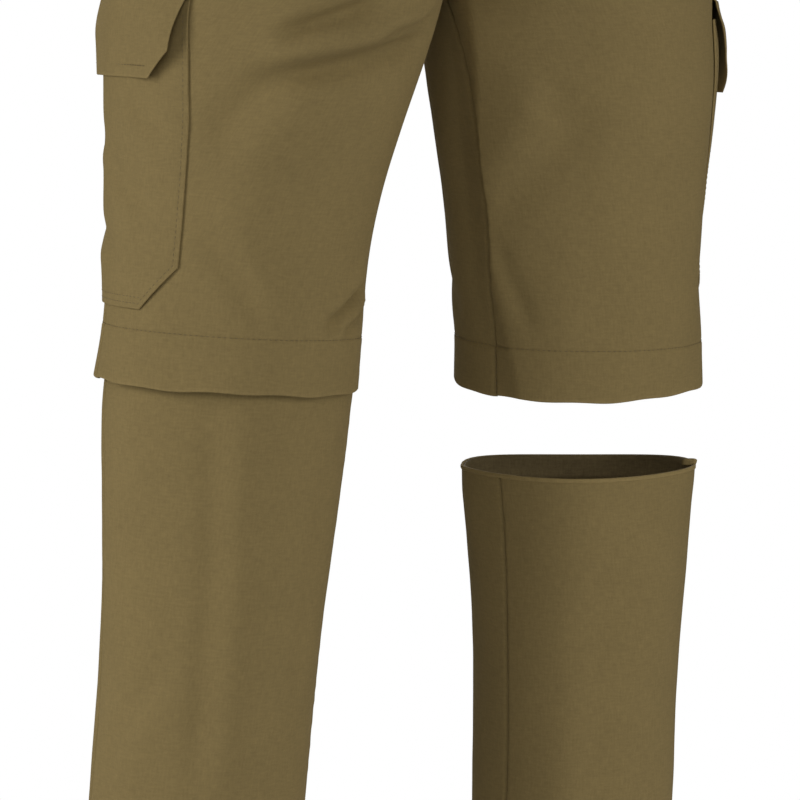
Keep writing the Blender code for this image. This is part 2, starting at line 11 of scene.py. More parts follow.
import bpy
import numpy as np
from bpy.props import FloatProperty, FloatVectorProperty, PointerProperty
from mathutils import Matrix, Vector


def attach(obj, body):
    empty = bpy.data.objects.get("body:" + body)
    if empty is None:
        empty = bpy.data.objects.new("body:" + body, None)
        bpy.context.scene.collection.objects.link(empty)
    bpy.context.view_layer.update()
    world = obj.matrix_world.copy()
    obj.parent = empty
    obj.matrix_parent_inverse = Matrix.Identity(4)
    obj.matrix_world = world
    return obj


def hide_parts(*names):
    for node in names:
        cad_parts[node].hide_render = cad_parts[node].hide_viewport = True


bl_info = {
    "name": "Zip-off trousers",
    "version": (1, 0, 0),
    "blender": (4, 5, 0),
    "location": "View3D > Sidebar > Trousers",
    "description": "Builds the cloth, seams, zips and stage of a pair of zip-off trousers",
    "category": "Object",
}

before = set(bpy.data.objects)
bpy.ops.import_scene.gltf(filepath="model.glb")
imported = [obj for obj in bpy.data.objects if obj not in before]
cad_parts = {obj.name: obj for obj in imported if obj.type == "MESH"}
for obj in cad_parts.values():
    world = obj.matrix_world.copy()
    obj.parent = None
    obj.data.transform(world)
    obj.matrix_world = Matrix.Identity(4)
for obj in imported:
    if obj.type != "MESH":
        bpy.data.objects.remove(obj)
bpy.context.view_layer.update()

# Cloth and seams
WALL = 0.0012
SEAM_GAP = 0.0003
SEAM_SLIT = 0.00004
TAPE_WALL = 0.0009
FOLDED_WALL = 0.0012

# Heights of the upper half
BAND_HALF_HEIGHT = 0.020
HIP_Z = -0.125
CROTCH_Z = -0.235

# Rings of the hips: half width, and depth in front of and behind the middle
TORSO_COLUMNS = ("z", "half_width", "front", "back")
TORSO_ROWS = (
    (0.020, 0.152, 0.112, 0.106),
    (-0.020, 0.157, 0.115, 0.110),
    (-0.080, 0.176, 0.122, 0.124),
    (-0.150, 0.192, 0.122, 0.138),
    (-0.200, 0.199, 0.118, 0.137),
    (-0.235, 0.203, 0.116, 0.130),
)

# Rings of the legs. Front and back are shares of the half width. Lift is the slope that raises
# the outer side, and tilt the slope that lowers the back.
LEG_COLUMNS = ("z", "centre", "half_width", "front", "back", "centre_y", "lift", "tilt")
LEG_ROWS = {
    ("right", "upper"): (
        (-0.235, 0.1040, 0.1040, 1.08, 1.12, 0.002, 0.000, 0.0),
        (-0.270, 0.1112, 0.1024, 1.06, 1.10, 0.001, 0.020, 0.0),
        (-0.310, 0.1183, 0.0966, 1.03, 1.07, 0.000, 0.033, 0.0),
        (-0.350, 0.1257, 0.0904, 1.01, 1.05, 0.000, 0.045, 0.0),
        (-0.390, 0.1326, 0.0850, 1.00, 1.05, 0.000, 0.055, 0.0),
        (-0.430, 0.1388, 0.0817, 1.00, 1.05, 0.000, 0.064, 0.0),
        (-0.477, 0.1436, 0.0809, 1.00, 1.05, 0.000, 0.070, 0.0),
        (-0.511, 0.1479, 0.0823, 1.00, 1.05, 0.000, 0.070, 0.0),
    ),
    ("left", "upper"): (
        (-0.235, 0.0955, 0.0955, 1.10, 1.15, 0.002, 0.000, 0.0),
        (-0.275, 0.0960, 0.0939, 1.06, 1.10, 0.001, 0.000, 0.0),
        (-0.315, 0.0998, 0.0922, 1.03, 1.07, 0.000, 0.000, 0.0),
        (-0.355, 0.1022, 0.0888, 1.01, 1.05, 0.000, 0.000, 0.0),
        (-0.400, 0.1034, 0.0843, 1.00, 1.05, 0.000, 0.000, 0.0),
        (-0.445, 0.1037, 0.0821, 1.00, 1.05, 0.000, -0.004, -0.008),
        (-0.487, 0.1060, 0.0808, 1.00, 1.05, 0.000, -0.012, -0.022),
        (-0.519, 0.1067, 0.0811, 1.00, 1.05, 0.000, 0.022, -0.058),
    ),
    ("right", "lower"): (
        (-0.4815, 0.1437, 0.0778, 0.99, 1.03, 0.000, 0.070, 0.0),
        (-0.530, 0.1473, 0.0775, 0.96, 0.98, 0.001, 0.070, 0.0),
        (-0.580, 0.1489, 0.0741, 0.96, 0.98, 0.003, 0.070, 0.0),
        (-0.630, 0.1516, 0.0716, 0.96, 0.98, 0.005, 0.068, 0.0),
        (-0.680, 0.1558, 0.0705, 0.96, 0.98, 0.007, 0.064, 0.0),
        (-0.770, 0.1644, 0.0681, 0.96, 0.98, 0.010, 0.056, 0.0),
        (-0.880, 0.1730, 0.0662, 0.96, 0.98, 0.015, 0.046, 0.0),
        (-1.012, 0.1825, 0.0645, 0.96, 0.98, 0.020, 0.034, 0.0),
    ),
    ("left", "lower"): (
        (-0.5735, 0.1075, 0.0779, 0.95, 0.95, 0.000, -0.014, 0.027),
        (-0.600, 0.1084, 0.0757, 0.95, 0.95, 0.001, -0.010, 0.020),
        (-0.640, 0.1093, 0.0732, 0.95, 0.96, 0.002, -0.006, 0.012),
        (-0.690, 0.1091, 0.0704, 0.95, 0.97, 0.003, 0.000, 0.004),
        (-0.740, 0.1081, 0.0680, 0.95, 0.98, 0.004, 0.000, 0.0),
        (-0.790, 0.1070, 0.0670, 0.95, 0.98, 0.005, 0.000, 0.0),
        (-0.940, 0.1050, 0.0656, 0.95, 0.98, 0.010, 0.000, 0.0),
        (-1.103, 0.1025, 0.0645, 0.95, 0.98, 0.015, 0.000, 0.0),
    ),
}

# The unzipped leg's mouth: pinched to a corner at both ends of the line along which it is
# flattened, with the corners raised. Both fade out below the rim.
MOUTH_TURN = 27.0
MOUTH_PINCH = 0.25
MOUTH_CORNER = 0.0020
MOUTH_SHOULDER = 0.0022
MOUTH_REACH = 0.090

# Where the leg's seams run, in degrees round the ring from its inner side, by the drop below
# the crotch, and how the hips' columns gather towards the crotch
SEAM_COLUMNS = ("drop", "inseam", "outseam")
SEAM_ROWS = (
    (0.000, 0.0, 186.0),
    (0.040, 10.0, 188.0),
    (0.120, 15.0, 190.0),
    (0.290, 20.0, 192.0),
)
HIP_OUTSEAM = 96.0
HIP_GATHER = 0.65
CROTCH_REACH = 6

LEVELS = {
    "right": {"stitch": -0.4770, "zip": -0.4815, "hem": -0.5110, "rim": -0.4818, "ankle": -1.012},
    "left": {"stitch": -0.4870, "zip": -0.4915, "hem": -0.5190, "rim": -0.5735, "ankle": -1.103},
}
ANKLE_HEM = 0.020

# Folds: soft troughs from one point of the surface to another, each with a low ridge beside it
FOLD_COLUMNS = ("u0", "z0", "u1", "z1", "width", "depth", "ridge")
FOLD_ROWS = {
    ("right", "upper"): (
        (0.57, -0.3190, 0.17, -0.2920, 0.0085, 0.0105, 0.75),
        (0.57, -0.2930, 0.40, -0.2700, 0.0070, 0.0080, 0.30),
        (0.36, -0.2910, 0.18, -0.2770, 0.0055, 0.0065, 0.30),
        (0.56, -0.3140, 0.67, -0.3600, 0.0140, 0.0060, 0.30),
        (1.70, -0.285, 1.35, -0.345, 0.015, 0.0040, 0.4),
        (1.75, -0.262, 1.40, -0.290, 0.012, 0.0030, 0.4),
        (0.66, -0.4080, 0.47, -0.4690, 0.0080, 0.0026, 0.5),
        (0.36, -0.4380, 0.28, -0.4700, 0.0070, 0.0012, 0.4),
        (0.28, -0.4700, 0.10, -0.4440, 0.0060, 0.0075, 0.5),
        (0.20, -0.4740, 0.05, -0.4600, 0.0045, 0.0040, 0.5),
        (1.60, -0.420, 1.85, -0.465, 0.009, 0.0015, 0.4),
    ),
    ("left", "upper"): (
        (0.30, -0.3400, 0.03, -0.4080, 0.0130, 0.0022, 0.6),
        (0.24, -0.3180, 0.20, -0.3420, 0.0110, 0.0020, 0.3),
        (0.03, -0.4190, 0.12, -0.4760, 0.0070, 0.0012, 0.5),
        (0.85, -0.400, 0.70, -0.470, 0.011, 0.0014, 0.3),
        (1.72, -0.300, 1.40, -0.350, 0.015, 0.0035, 0.4),
        (1.78, -0.270, 1.45, -0.292, 0.012, 0.0028, 0.4),
        (1.62, -0.430, 1.86, -0.470, 0.009, 0.0015, 0.4),
    ),
    ("right", "lower"): (
        (0.58, -0.5100, 0.55, -0.7600, 0.0120, 0.0030, 0.7),
        (0.66, -0.6760, 0.90, -0.7500, 0.0100, 0.0020, 0.5),
        (0.20, -0.560, 0.26, -0.700, 0.012, 0.0014, 0.4),
        (1.50, -0.640, 1.44, -0.900, 0.016, 0.0030, 0.4),
        (1.70, -0.560, 1.62, -0.660, 0.012, 0.0022, 0.4),
        (0.40, -0.880, 0.62, -0.960, 0.013, 0.0020, 0.4),
    ),
    ("left", "lower"): (
        (0.30, -0.640, 0.34, -0.860, 0.016, 0.0016, 0.3),
        (1.50, -0.700, 1.56, -0.920, 0.016, 0.0028, 0.4),
        (1.30, -0.960, 1.62, -1.020, 0.013, 0.0020, 0.4),
        (0.55, -0.960, 0.80, -1.030, 0.013, 0.0018, 0.4),
    ),
}
FOLD_METRES_PER_U = 0.26

# The short leg's pressed crease along its inseam: where it runs, by height, how far it stands
# out, how far it reaches in front of the crease and behind it, and the way in which it points
CREASE_COLUMNS = ("z", "u", "height")
CREASE_ROWS = (
    (-0.235, 0.070, 0.0000),
    (-0.275, 0.050, 0.0170),
    (-0.340, 0.014, 0.0200),
    (-0.405, 0.004, 0.0180),
    (-0.445, 0.015, 0.0120),
    (-0.519, 0.075, 0.0065),
)
CREASE_FRONT = 0.074
CREASE_BACK = 0.017
CREASE_TOWARDS = (-0.454, -0.891, 0.0)

# Slow unevenness of hanging cloth: the longest wave, its height, and how both shrink
RIPPLE_LONGEST = 0.150
RIPPLE_HEIGHT = 0.0007
RIPPLE_SHRINK = 0.74
RIPPLE_COUNT = 9
RIPPLE_SEED = 11

# Zip
TAPE_TOP_DROP = 0.0015
TAPE_INNER = 0.0015
LOWER_TAPE_HEIGHT = 0.014
RIM_HEIGHT = 0.003
RIM_OUT = 0.0007
RIM_LAP = 0.0008
RIM_IN = 0.0014
TOOTH_PITCH = 0.0015
SHORTEST_CUT = 0.010

# Waistband, button and fly
BAND_OUT = 0.0010
BAND_IN = 0.0014
BAND_OVER = 0.0027
BAND_UNDER_END = 0.025
BAND_OVER_END = -0.030
BAND_RAMP = 0.030
BUTTON_RADIUS = 0.0085
BUTTON_THICKNESS = 0.003
BUTTON_X = -0.018
FLY_WIDTH = 0.036
FLY_STITCH_BOTTOM = -0.160
FLY_SHIELD_BOTTOM = -0.1535

# Cargo pocket and flap, measured from the outseam and from the hem band's stitch line
POCKET_HALF_WIDTH = 0.076
POCKET_ABOVE_STITCH = 0.0125
POCKET_HEIGHT = 0.194
POCKET_CHAMFER = 0.028
POCKET_BASE = 0.0003
POCKET_RISE = 0.022
POCKET_SEWN = 0.0036
POCKET_TURNED = 0.0075
FLAP_HEIGHT = 0.062
FLAP_HALF_WIDTH = 0.077
FLAP_TAPER = 0.014
FLAP_CHAMFER_X = 0.013
FLAP_CHAMFER_Z = 0.018
FLAP_CLEAR = 0.0004
FLAP_TURNED = 0.0078
FLAP_MIDDLE = 0.050

# What differs between the two sides. The first two are pairs, at the pocket's bottom and top: how
# far its middle lies behind the outseam, and how far its belly stands out.
POCKET_SHIFT = {"right": (-0.004, -0.007), "left": (0.026, 0.000)}
POCKET_BELLY = {"right": (0.0010, 0.0012), "left": (0.0014, 0.0034)}
FLAP_ABOVE_POCKET_BOTTOM = {"right": 0.1445, "left": 0.1460}
FLAP_STANDOFF = {"right": 0.0075, "left": 0.0040}
FLAP_FLARE = {"right": 0.0, "left": 0.0055}
FLAP_RISE = {"right": 0.6, "left": 0.35}

# Folds of a pocket, in metres round from the outseam (the front is negative) and above its bottom
POCKET_FOLD_COLUMNS = ("x0", "y0", "x1", "y1", "width", "depth")
POCKET_FOLD_ROWS = (
    (-0.060, 0.108, -0.020, 0.136, 0.008, 0.0022),
    (-0.050, 0.062, 0.004, 0.092, 0.009, 0.0026),
    (0.014, 0.040, 0.058, 0.066, 0.008, 0.0020),
    (-0.022, 0.030, 0.020, 0.048, 0.008, 0.0017),
    (0.020, 0.100, 0.056, 0.120, 0.008, 0.0019),
)

# The photograph's camera: its turn from +Y, its tilt down, its distance and its focal length
CAMERA_TURN = -27.0
CAMERA_TILT = 6.9
CAMERA_DISTANCE = 2.3
CAMERA_ASIDE = -0.022
CAMERA_Z = -0.246
CAMERA_LENS = 161.5
SENSOR = 36.0
FLOOR_Z = -1.160
FLOOR_RADIUS = 1.35

SIDES = {"right": -1.0, "left": 1.0}


def table(columns, rows):
    """The named columns of a short table, in rising order of the first, which is also its key."""
    values = np.array(sorted(rows))
    out = {name: values[:, i] for i, name in enumerate(columns)}
    out["key"] = values[:, 0]
    return out


TORSO = table(TORSO_COLUMNS, TORSO_ROWS)
SEAMS = table(SEAM_COLUMNS, SEAM_ROWS)
CREASE = table(CREASE_COLUMNS, CREASE_ROWS)
LEGS = {key: table(LEG_COLUMNS, rows) for key, rows in LEG_ROWS.items()}


def curve(rows, name, at):
    """A smooth curve through one column, level at its last row: cubic pieces between the rows,
    whose slopes come from the neighbouring rows."""
    keys = rows["key"]
    values = rows[name]
    slopes = np.gradient(values, keys)
    slopes[-1] = 0.0
    at = np.clip(at, keys[0], keys[-1])
    i = np.clip(np.searchsorted(keys, at) - 1, 0, len(keys) - 2)
    step = keys[i + 1] - keys[i]
    t = (at - keys[i]) / step
    start = (1 + 2 * t) * (1 - t) ** 2 * values[i] + t * (1 - t) ** 2 * step * slopes[i]
    end = t * t * (3 - 2 * t) * values[i + 1] + t * t * (t - 1) * step * slopes[i + 1]
    return start + end


def smoothstep(t):
    """3 t^2 - 2 t^3 between 0 and 1, level at both ends."""
    t = np.clip(t, 0.0, 1.0)
    return t * t * (3.0 - 2.0 * t)


def bump(distance, width):
    """A bell curve: e to the minus square of the distance over the width."""
    return np.exp(-((distance / width) ** 2))


def eased(distance, reach):
    """1 - (1 - d)^2: rises from 0 at an edge to 1 at a distance of reach, steeply at first."""
    share = np.clip(distance / reach, 0.0, 1.0)
    return 1.0 - (1.0 - share) ** 2


def rolled(distance, radius):
    """How far a rounded edge falls back: r - sqrt(r^2 - (r - d)^2) within r of the edge."""
    inside = np.clip(radius - distance, 0.0, radius)
    return radius - np.sqrt(radius**2 - inside**2)


def two_halves(u, start, middle, end):
    """Runs from start over middle to end as u runs from 0 over 1 to 2."""
    return np.where(u < 1.0, start + (middle - start) * u, middle + (end - middle) * (u - 1.0))


def shape_mouth(points, middle, radius, z):
    """Flattens the unzipped leg's top into a lens: the depth d becomes d (1 - p (1 - s)), with
    s = |d| / r. The corners rise by 1 - s^2, and the back edge beside them by 4 s (1 - s)."""
    turn = math.radians(MOUTH_TURN)
    along = np.array([math.cos(turn), -math.sin(turn)])
    across = np.array([math.sin(turn), math.cos(turn)])
    out = points[..., :2] - middle
    depth = out @ across
    share = np.abs(depth) / radius
    fade = 1.0 - smoothstep((LEVELS["left"]["rim"] - z) / MOUTH_REACH)
    depth = depth * (1.0 - MOUTH_PINCH * fade * (1.0 - share))
    flat = middle + (out @ along)[..., None] * along + depth[..., None] * across
    share = np.minimum(share, 1.0)
    raised = MOUTH_CORNER * (1.0 - share**2)
    raised = raised + MOUTH_SHOULDER * (depth > 0.0) * 4.0 * share * (1.0 - share)
    height = points[..., 2] + fade * raised
    return np.concatenate([flat, height[..., None]], axis=-1)


def leg_ring(leg, part, u, z):
    """A point of the leg: an ellipse round the leg's own middle, x = c - a cos(angle) and
    y = c - b sin(angle), raised outwards by the lift and lowered backwards by the tilt."""
    rows = LEGS[leg, part]
    inseam = curve(SEAMS, "inseam", CROTCH_Z - z)
    outseam = curve(SEAMS, "outseam", CROTCH_Z - z)
    angle = np.radians(two_halves(u, inseam, outseam, 360.0 + inseam))
    half_width = curve(rows, "half_width", z)
    share = np.where(np.sin(angle) > 0.0, curve(rows, "front", z), curve(rows, "back", z))
    across = half_width * (1.0 - np.cos(angle))
    forward = half_width * share * np.sin(angle)
    x = curve(rows, "centre", z) - half_width + across
    y = curve(rows, "centre_y", z) - forward
    height = z + curve(rows, "lift", z) * across + curve(rows, "tilt", z) * forward
    points = np.stack([x, y, height], axis=-1)
    if (leg, part) == ("left", "lower"):
        middle = np.stack([curve(rows, "centre", z), curve(rows, "centre_y", z)], axis=-1)
        points = shape_mouth(points, middle, half_width, z)
    return points


def hip_angle(u, z):
    """The angle from the centre front, with the columns gathered at the middle near the crotch."""
    share = np.where(u < 1.0, u, 2.0 - u)
    gather = HIP_GATHER * smoothstep((BAND_HALF_HEIGHT - z) / (BAND_HALF_HEIGHT - CROTCH_Z))
    share = share * (1.0 - gather) + gather * share * np.abs(share)
    from_front = HIP_OUTSEAM * share
    from_back = 180.0 - (180.0 - HIP_OUTSEAM) * share
    return np.radians(np.where(u < 1.0, from_front, from_back))


def torso_point(angle, z):
    """A point of the hips: x = a sin(angle) and y = -b cos(angle), b differing front and back."""
    depth = np.where(np.cos(angle) > 0.0, curve(TORSO, "front", z), curve(TORSO, "back", z))
    x = curve(TORSO, "half_width", z) * np.sin(angle)
    return np.stack(np.broadcast_arrays(x, -depth * np.cos(angle), z), axis=-1)


def smooth_form(leg, part, u, z):
    """The cloth before its folds, with the outer side at +X. Above the crotch the leg's ring turns
    into the hips' ring, along the centre seam on a quarter ellipse, the crotch's own curve."""
    ring = leg_ring(leg, part, u, z)
    if part == "lower":
        return ring
    rise = np.clip((z - CROTCH_Z) / (HIP_Z - CROTCH_Z), 0.0, 1.0)
    from_middle = 1.0 - np.cos(0.5 * math.pi * u) ** CROTCH_REACH
    weight = (1.0 - (1.0 - rise) ** 2) ** (0.5 + 1.5 * from_middle)
    weight = weight[..., None]
    return ring * (1.0 - weight) + torso_point(hip_angle(u, z), z) * weight


def crease(u, z):
    """A pressed crease: a ridge h (1 - s)^1.5 on either side of its line, with s the distance from
    it over the reach."""
    aside = ((u - curve(CREASE, "u", z) + 1.0) % 2.0 - 1.0) * FOLD_METRES_PER_U
    share = np.where(aside > 0.0, aside / CREASE_FRONT, -aside / CREASE_BACK)
    return curve(CREASE, "height", z) * np.clip(1.0 - share, 0.0, 1.0) ** 1.5


def pressed_form(leg, part, u, z):
    """The smooth form with the short leg's crease drawn forwards and inwards."""
    points = smooth_form(leg, part, u, z)
    if (leg, part) == ("left", "upper"):
        points = points + crease(u, z)[..., None] * np.array(CREASE_TOWARDS)
    return points


def outward(form, u, z):
    """The outward normal of a surface, from the cross product of its two finite differences."""
    du, dz = 0.004, 0.0015
    across = form(u + du, z) - form(u - du, z)
    upward = form(u, z + dz) - form(u, z - dz)
    normal = np.cross(across, upward)
    return normal / np.linalg.norm(normal, axis=-1, keepdims=True)


def metres_per_u(leg, part, u, z):
    """How many metres of cloth one step of u covers at a point."""
    du = 0.05
    step = smooth_form(leg, part, u + du, z) - smooth_form(leg, part, u - du, z)
    return np.linalg.norm(step, axis=-1) / (2.0 * du)


def trough(along, aside, width, depth, ridge):
    """A soft trough across a line, with a ridge on one side, fading beyond the line's ends."""
    fade = smoothstep((along + 0.12) / 0.35) * smoothstep((1.12 - along) / 0.35)
    return fade * depth * (-bump(aside, width) + ridge * bump(aside - 1.9 * width, 1.2 * width))


def folds(leg, part, u, z):
    """The sum of a leg part's troughs. Distances round the leg are the shorter way round."""
    total = np.zeros(np.broadcast(u, z).shape)
    for u0, z0, u1, z1, width, depth, ridge in FOLD_ROWS[leg, part]:
        run_u = (u1 - u0) * FOLD_METRES_PER_U
        run_z = z1 - z0
        length = math.hypot(run_u, run_z)
        apart = u - u0
        if part == "lower":
            apart = (apart + 1.0) % 2.0 - 1.0
        from_u = apart * FOLD_METRES_PER_U
        from_z = z - z0
        along = (from_u * run_u + from_z * run_z) / length**2
        aside = (from_u * run_z - from_z * run_u) / length
        total = total + trough(along, aside, width, depth, ridge)
    return total


def ripples(points):
    """Slow unevenness: a sum of sine waves in fixed directions of space, so that it carries over
    every seam. Each next wave is shorter and shallower."""
    source = np.random.default_rng(RIPPLE_SEED)
    total = np.zeros(points.shape[:-1])
    for i in range(RIPPLE_COUNT):
        direction = source.normal(size=3)
        direction[2] *= 0.6
        direction /= np.linalg.norm(direction)
        length = RIPPLE_LONGEST * RIPPLE_SHRINK**i
        height = RIPPLE_HEIGHT * RIPPLE_SHRINK ** (1.3 * i)
        phase = source.uniform(0.0, 2.0 * math.pi)
        total = total + height * np.sin(2.0 * math.pi * (points @ direction) / length + phase)
    return total


def cloth(leg, part, u, z, offset=0.0, relief=1.0):
    """World points at an offset from the folded cloth, with their outward normals."""
    u, z = np.broadcast_arrays(np.asarray(u, float), np.asarray(z, float))
    form = lambda a, b: pressed_form(leg, part, a, b)
    points = smooth_form(leg, part, u, z)
    normals = outward(form, u, z)
    uneven = folds(leg, part, u, z) + ripples(points * (SIDES[leg], 1.0, 1.0))
    points = form(u, z) + normals * (offset + relief * uneven)[..., None]
    if part == "upper":
        points[..., 0] = np.maximum(points[..., 0], 0.5 * SEAM_SLIT)
    mirror = np.array([SIDES[leg], 1.0, 1.0])
    return points * mirror, normals * mirror


def waist(around, z, offset):
    """World points and normals of the waist by the angle from the centre front."""
    around, z = np.broadcast_arrays(np.asarray(around, float), np.asarray(z, float))
    points = torso_point(around, z)
    normals = outward(torso_point, around, z)
    offset = np.broadcast_to(offset, z.shape)
    return points + normals * (offset + 0.5 * ripples(points))[..., None], normals


def waist_angle(x):
    """The angle from the centre front at which the waist's front has a given x."""
    return math.asin(x / float(curve(TORSO, "half_width", 0.0)))


def wall_faces(rows, columns, closed, flipped):
    """Quads of a wall between an outer and an inner grid, stored one after the other."""
    total = rows * columns
    spans = columns if closed else columns - 1
    row, col = np.meshgrid(np.arange(rows - 1), np.arange(spans), indexing="ij")
    a = (row * columns + col).ravel()
    b = (row * columns + (col + 1) % columns).ravel()
    c = ((row + 1) * columns + (col + 1) % columns).ravel()
    d = ((row + 1) * columns + col).ravel()
    outer = np.stack([a, d, c, b], 1)
    inner = outer[:, ::-1] + total
    rim = np.arange(columns)
    edges = [np.stack([rim, np.roll(rim, -1)], 1)[:spans]]
    last = (rows - 1) * columns + rim
    edges.append(np.stack([np.roll(last, -1), last], 1)[:spans])
    if not closed:
        side = np.arange(rows) * columns
        edges.append(np.stack([side[1:], side[:-1]], 1))
        edges.append(np.stack([side[:-1], side[1:]], 1) + columns - 1)
    p, q = np.concatenate(edges).T
    border = np.stack([p, q, q + total, p + total], 1)
    faces = np.concatenate([outer, inner, border])
    return faces[:, ::-1] if flipped else faces


def tube_faces(rows, columns, flipped):
    """Quads of a closed section, one row for each of its points, carried round a closed path."""
    row, col = np.meshgrid(np.arange(rows), np.arange(columns), indexing="ij")
    a = (row * columns + col).ravel()
    b = (row * columns + (col + 1) % columns).ravel()
    c = ((row + 1) % rows * columns + (col + 1) % columns).ravel()
    d = ((row + 1) % rows * columns + col).ravel()
    faces = np.stack([a, d, c, b], 1)
    return faces[:, ::-1] if flipped else faces


def add_piece(name, points, faces, finish, attributes=None):
    """One smooth-shaded mesh object at the origin that rides on the only body."""
    mesh = bpy.data.meshes.new(name)
    mesh.from_pydata(np.asarray(points, float).reshape(-1, 3).tolist(), [], [list(f) for f in faces])
    mesh.update()
    mesh.shade_smooth()
    for key, values in (attributes or {}).items():
        values = np.asarray(values, np.float32)
        kind = "FLOAT_VECTOR" if values.ndim == 2 else "FLOAT"
        layer = mesh.attributes.new(key, kind, "POINT")
        layer.data.foreach_set("vector" if values.ndim == 2 else "value", values.ravel())
    mesh.materials.append(finish)
    piece = bpy.data.objects.new(name, mesh)
    bpy.context.scene.collection.objects.link(piece)
    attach(piece, "root")
    return piece


def weave_attribute(along, height):
    """The place on the cloth in metres, across and along the grain, for both faces of a wall."""
    flat = np.stack([along.ravel(), height.ravel(), 0.0 * height.ravel()], 1)
    return np.concatenate([flat, flat])


def flat_area(points):
    """The area of a grid of points, as the sum of its quads' two triangles."""
    a, b, c, d = points[:-1, :-1], points[:-1, 1:], points[1:, 1:], points[1:, :-1]
    first = np.linalg.norm(np.cross(b - a, c - a), axis=-1)
    second = np.linalg.norm(np.cross(c - a, d - a), axis=-1)
    return float(0.5 * (first + second).sum())


def add_wall(name, leg, outer, inner, finish, along, height, rub=None, closed=False):
    """A cloth wall between two grids, with its place on the cloth stored, and the tone of its edges: lighter folded
    edges, painted shade along seams, and a painted highlight on the rim.
    """
    rows, columns = outer.shape[:2]
    faces = wall_faces(rows, columns, closed, SIDES[leg] < 0.0)
    points = np.concatenate([outer.reshape(-1, 3), inner.reshape(-1, 3)])
    rub = np.zeros(outer.shape[:2]) if rub is None else rub
    attributes = {
        "weave": weave_attribute(along, height),
        "rub": np.concatenate([rub.ravel(), rub.ravel()]),
    }
    return add_piece(name, points, faces, finish, attributes)


def declare_cut(outer):
    """Works out a piece's cut, the box that its rows and columns fill when laid flat, and its area, but keeps
    neither.
    """
    widths = np.linalg.norm(np.diff(outer, axis=1), axis=-1).sum(axis=1)
    lengths = np.linalg.norm(np.diff(outer, axis=0), axis=-1).sum(axis=0)
    flat = (float(widths.max()), float(lengths.max()))
    area = min(flat_area(outer), flat[0] * flat[1])


class Value:
    """A shader socket on which Python's operators add Math nodes."""

    def __init__(self, finish, socket):
        self.finish = finish
        self.socket = socket

    def math(self, operation, *others):
        inputs = {i: v for i, v in enumerate((self, *others))}
        return self.finish.node("ShaderNodeMath", {"operation": operation}, inputs)

    def __add__(self, other):
        return self.math("ADD", other)

    def __sub__(self, other):
        return self.math("SUBTRACT", other)

    def __rsub__(self, other):
        return self.finish.node("ShaderNodeMath", {"operation": "SUBTRACT"}, {0: other, 1: self})

    def __mul__(self, other):
        return self.math("MULTIPLY", other)

    def sine(self):
        return self.math("SINE")

    __radd__ = __add__
    __rmul__ = __mul__


class Finish:
    """A material and its nodes. One method adds any node: settings first, then its sockets."""

    def __init__(self, name):
        self.material = bpy.data.materials.new(name)
        self.material.use_nodes = True
        self.tree = self.material.node_tree
        self.shader = self.tree.nodes["Principled BSDF"]

    def node(self, kind, settings=None, inputs=None, output=0):
        made = self.tree.nodes.new(kind)
        for key, value in (settings or {}).items():
            setattr(made, key, value)
        for key, value in (inputs or {}).items():
            self.feed(self.find(made.inputs, key), value)
        return Value(self, self.find(made.outputs, output))

    def find(self, sockets, key):
        if isinstance(key, int):
            return sockets[key]
        for socket in sockets:
            if socket.identifier == key:
                return socket
        return sockets[key]

    def feed(self, socket, value):
        if isinstance(value, Value):
            self.tree.links.new(value.socket, socket)
        elif isinstance(value, (tuple, list)) and len(value) == 3 and socket.type == "RGBA":
            socket.default_value = (*value, 1.0)
        else:
            socket.default_value = value

    def set(self, **inputs):
        for key, value in inputs.items():
            self.feed(self.shader.inputs[key.replace("_", " ")], value)

    def stretched(self, vector, scale):
        return self.node("ShaderNodeMapping", None, {"Vector": vector, "Scale": scale})

    def noise(self, vector, scale, detail=2.0, roughness=0.5):
        inputs = {"Vector": vector, "Scale": scale, "Detail": detail, "Roughness": roughness}
        return self.node("ShaderNodeTexNoise", None, inputs)

    def mix(self, factor, first, second):
        inputs = {"Factor_Float": factor, "A_Color": first, "B_Color": second}
        return self.node("ShaderNodeMix", {"data_type": "RGBA"}, inputs, "Result_Color")


def tinted(colour, share):
    """A colour made darker or lighter by a share, kept within 0 to 1."""
    return tuple(min(1.0, c * share) for c in colour)


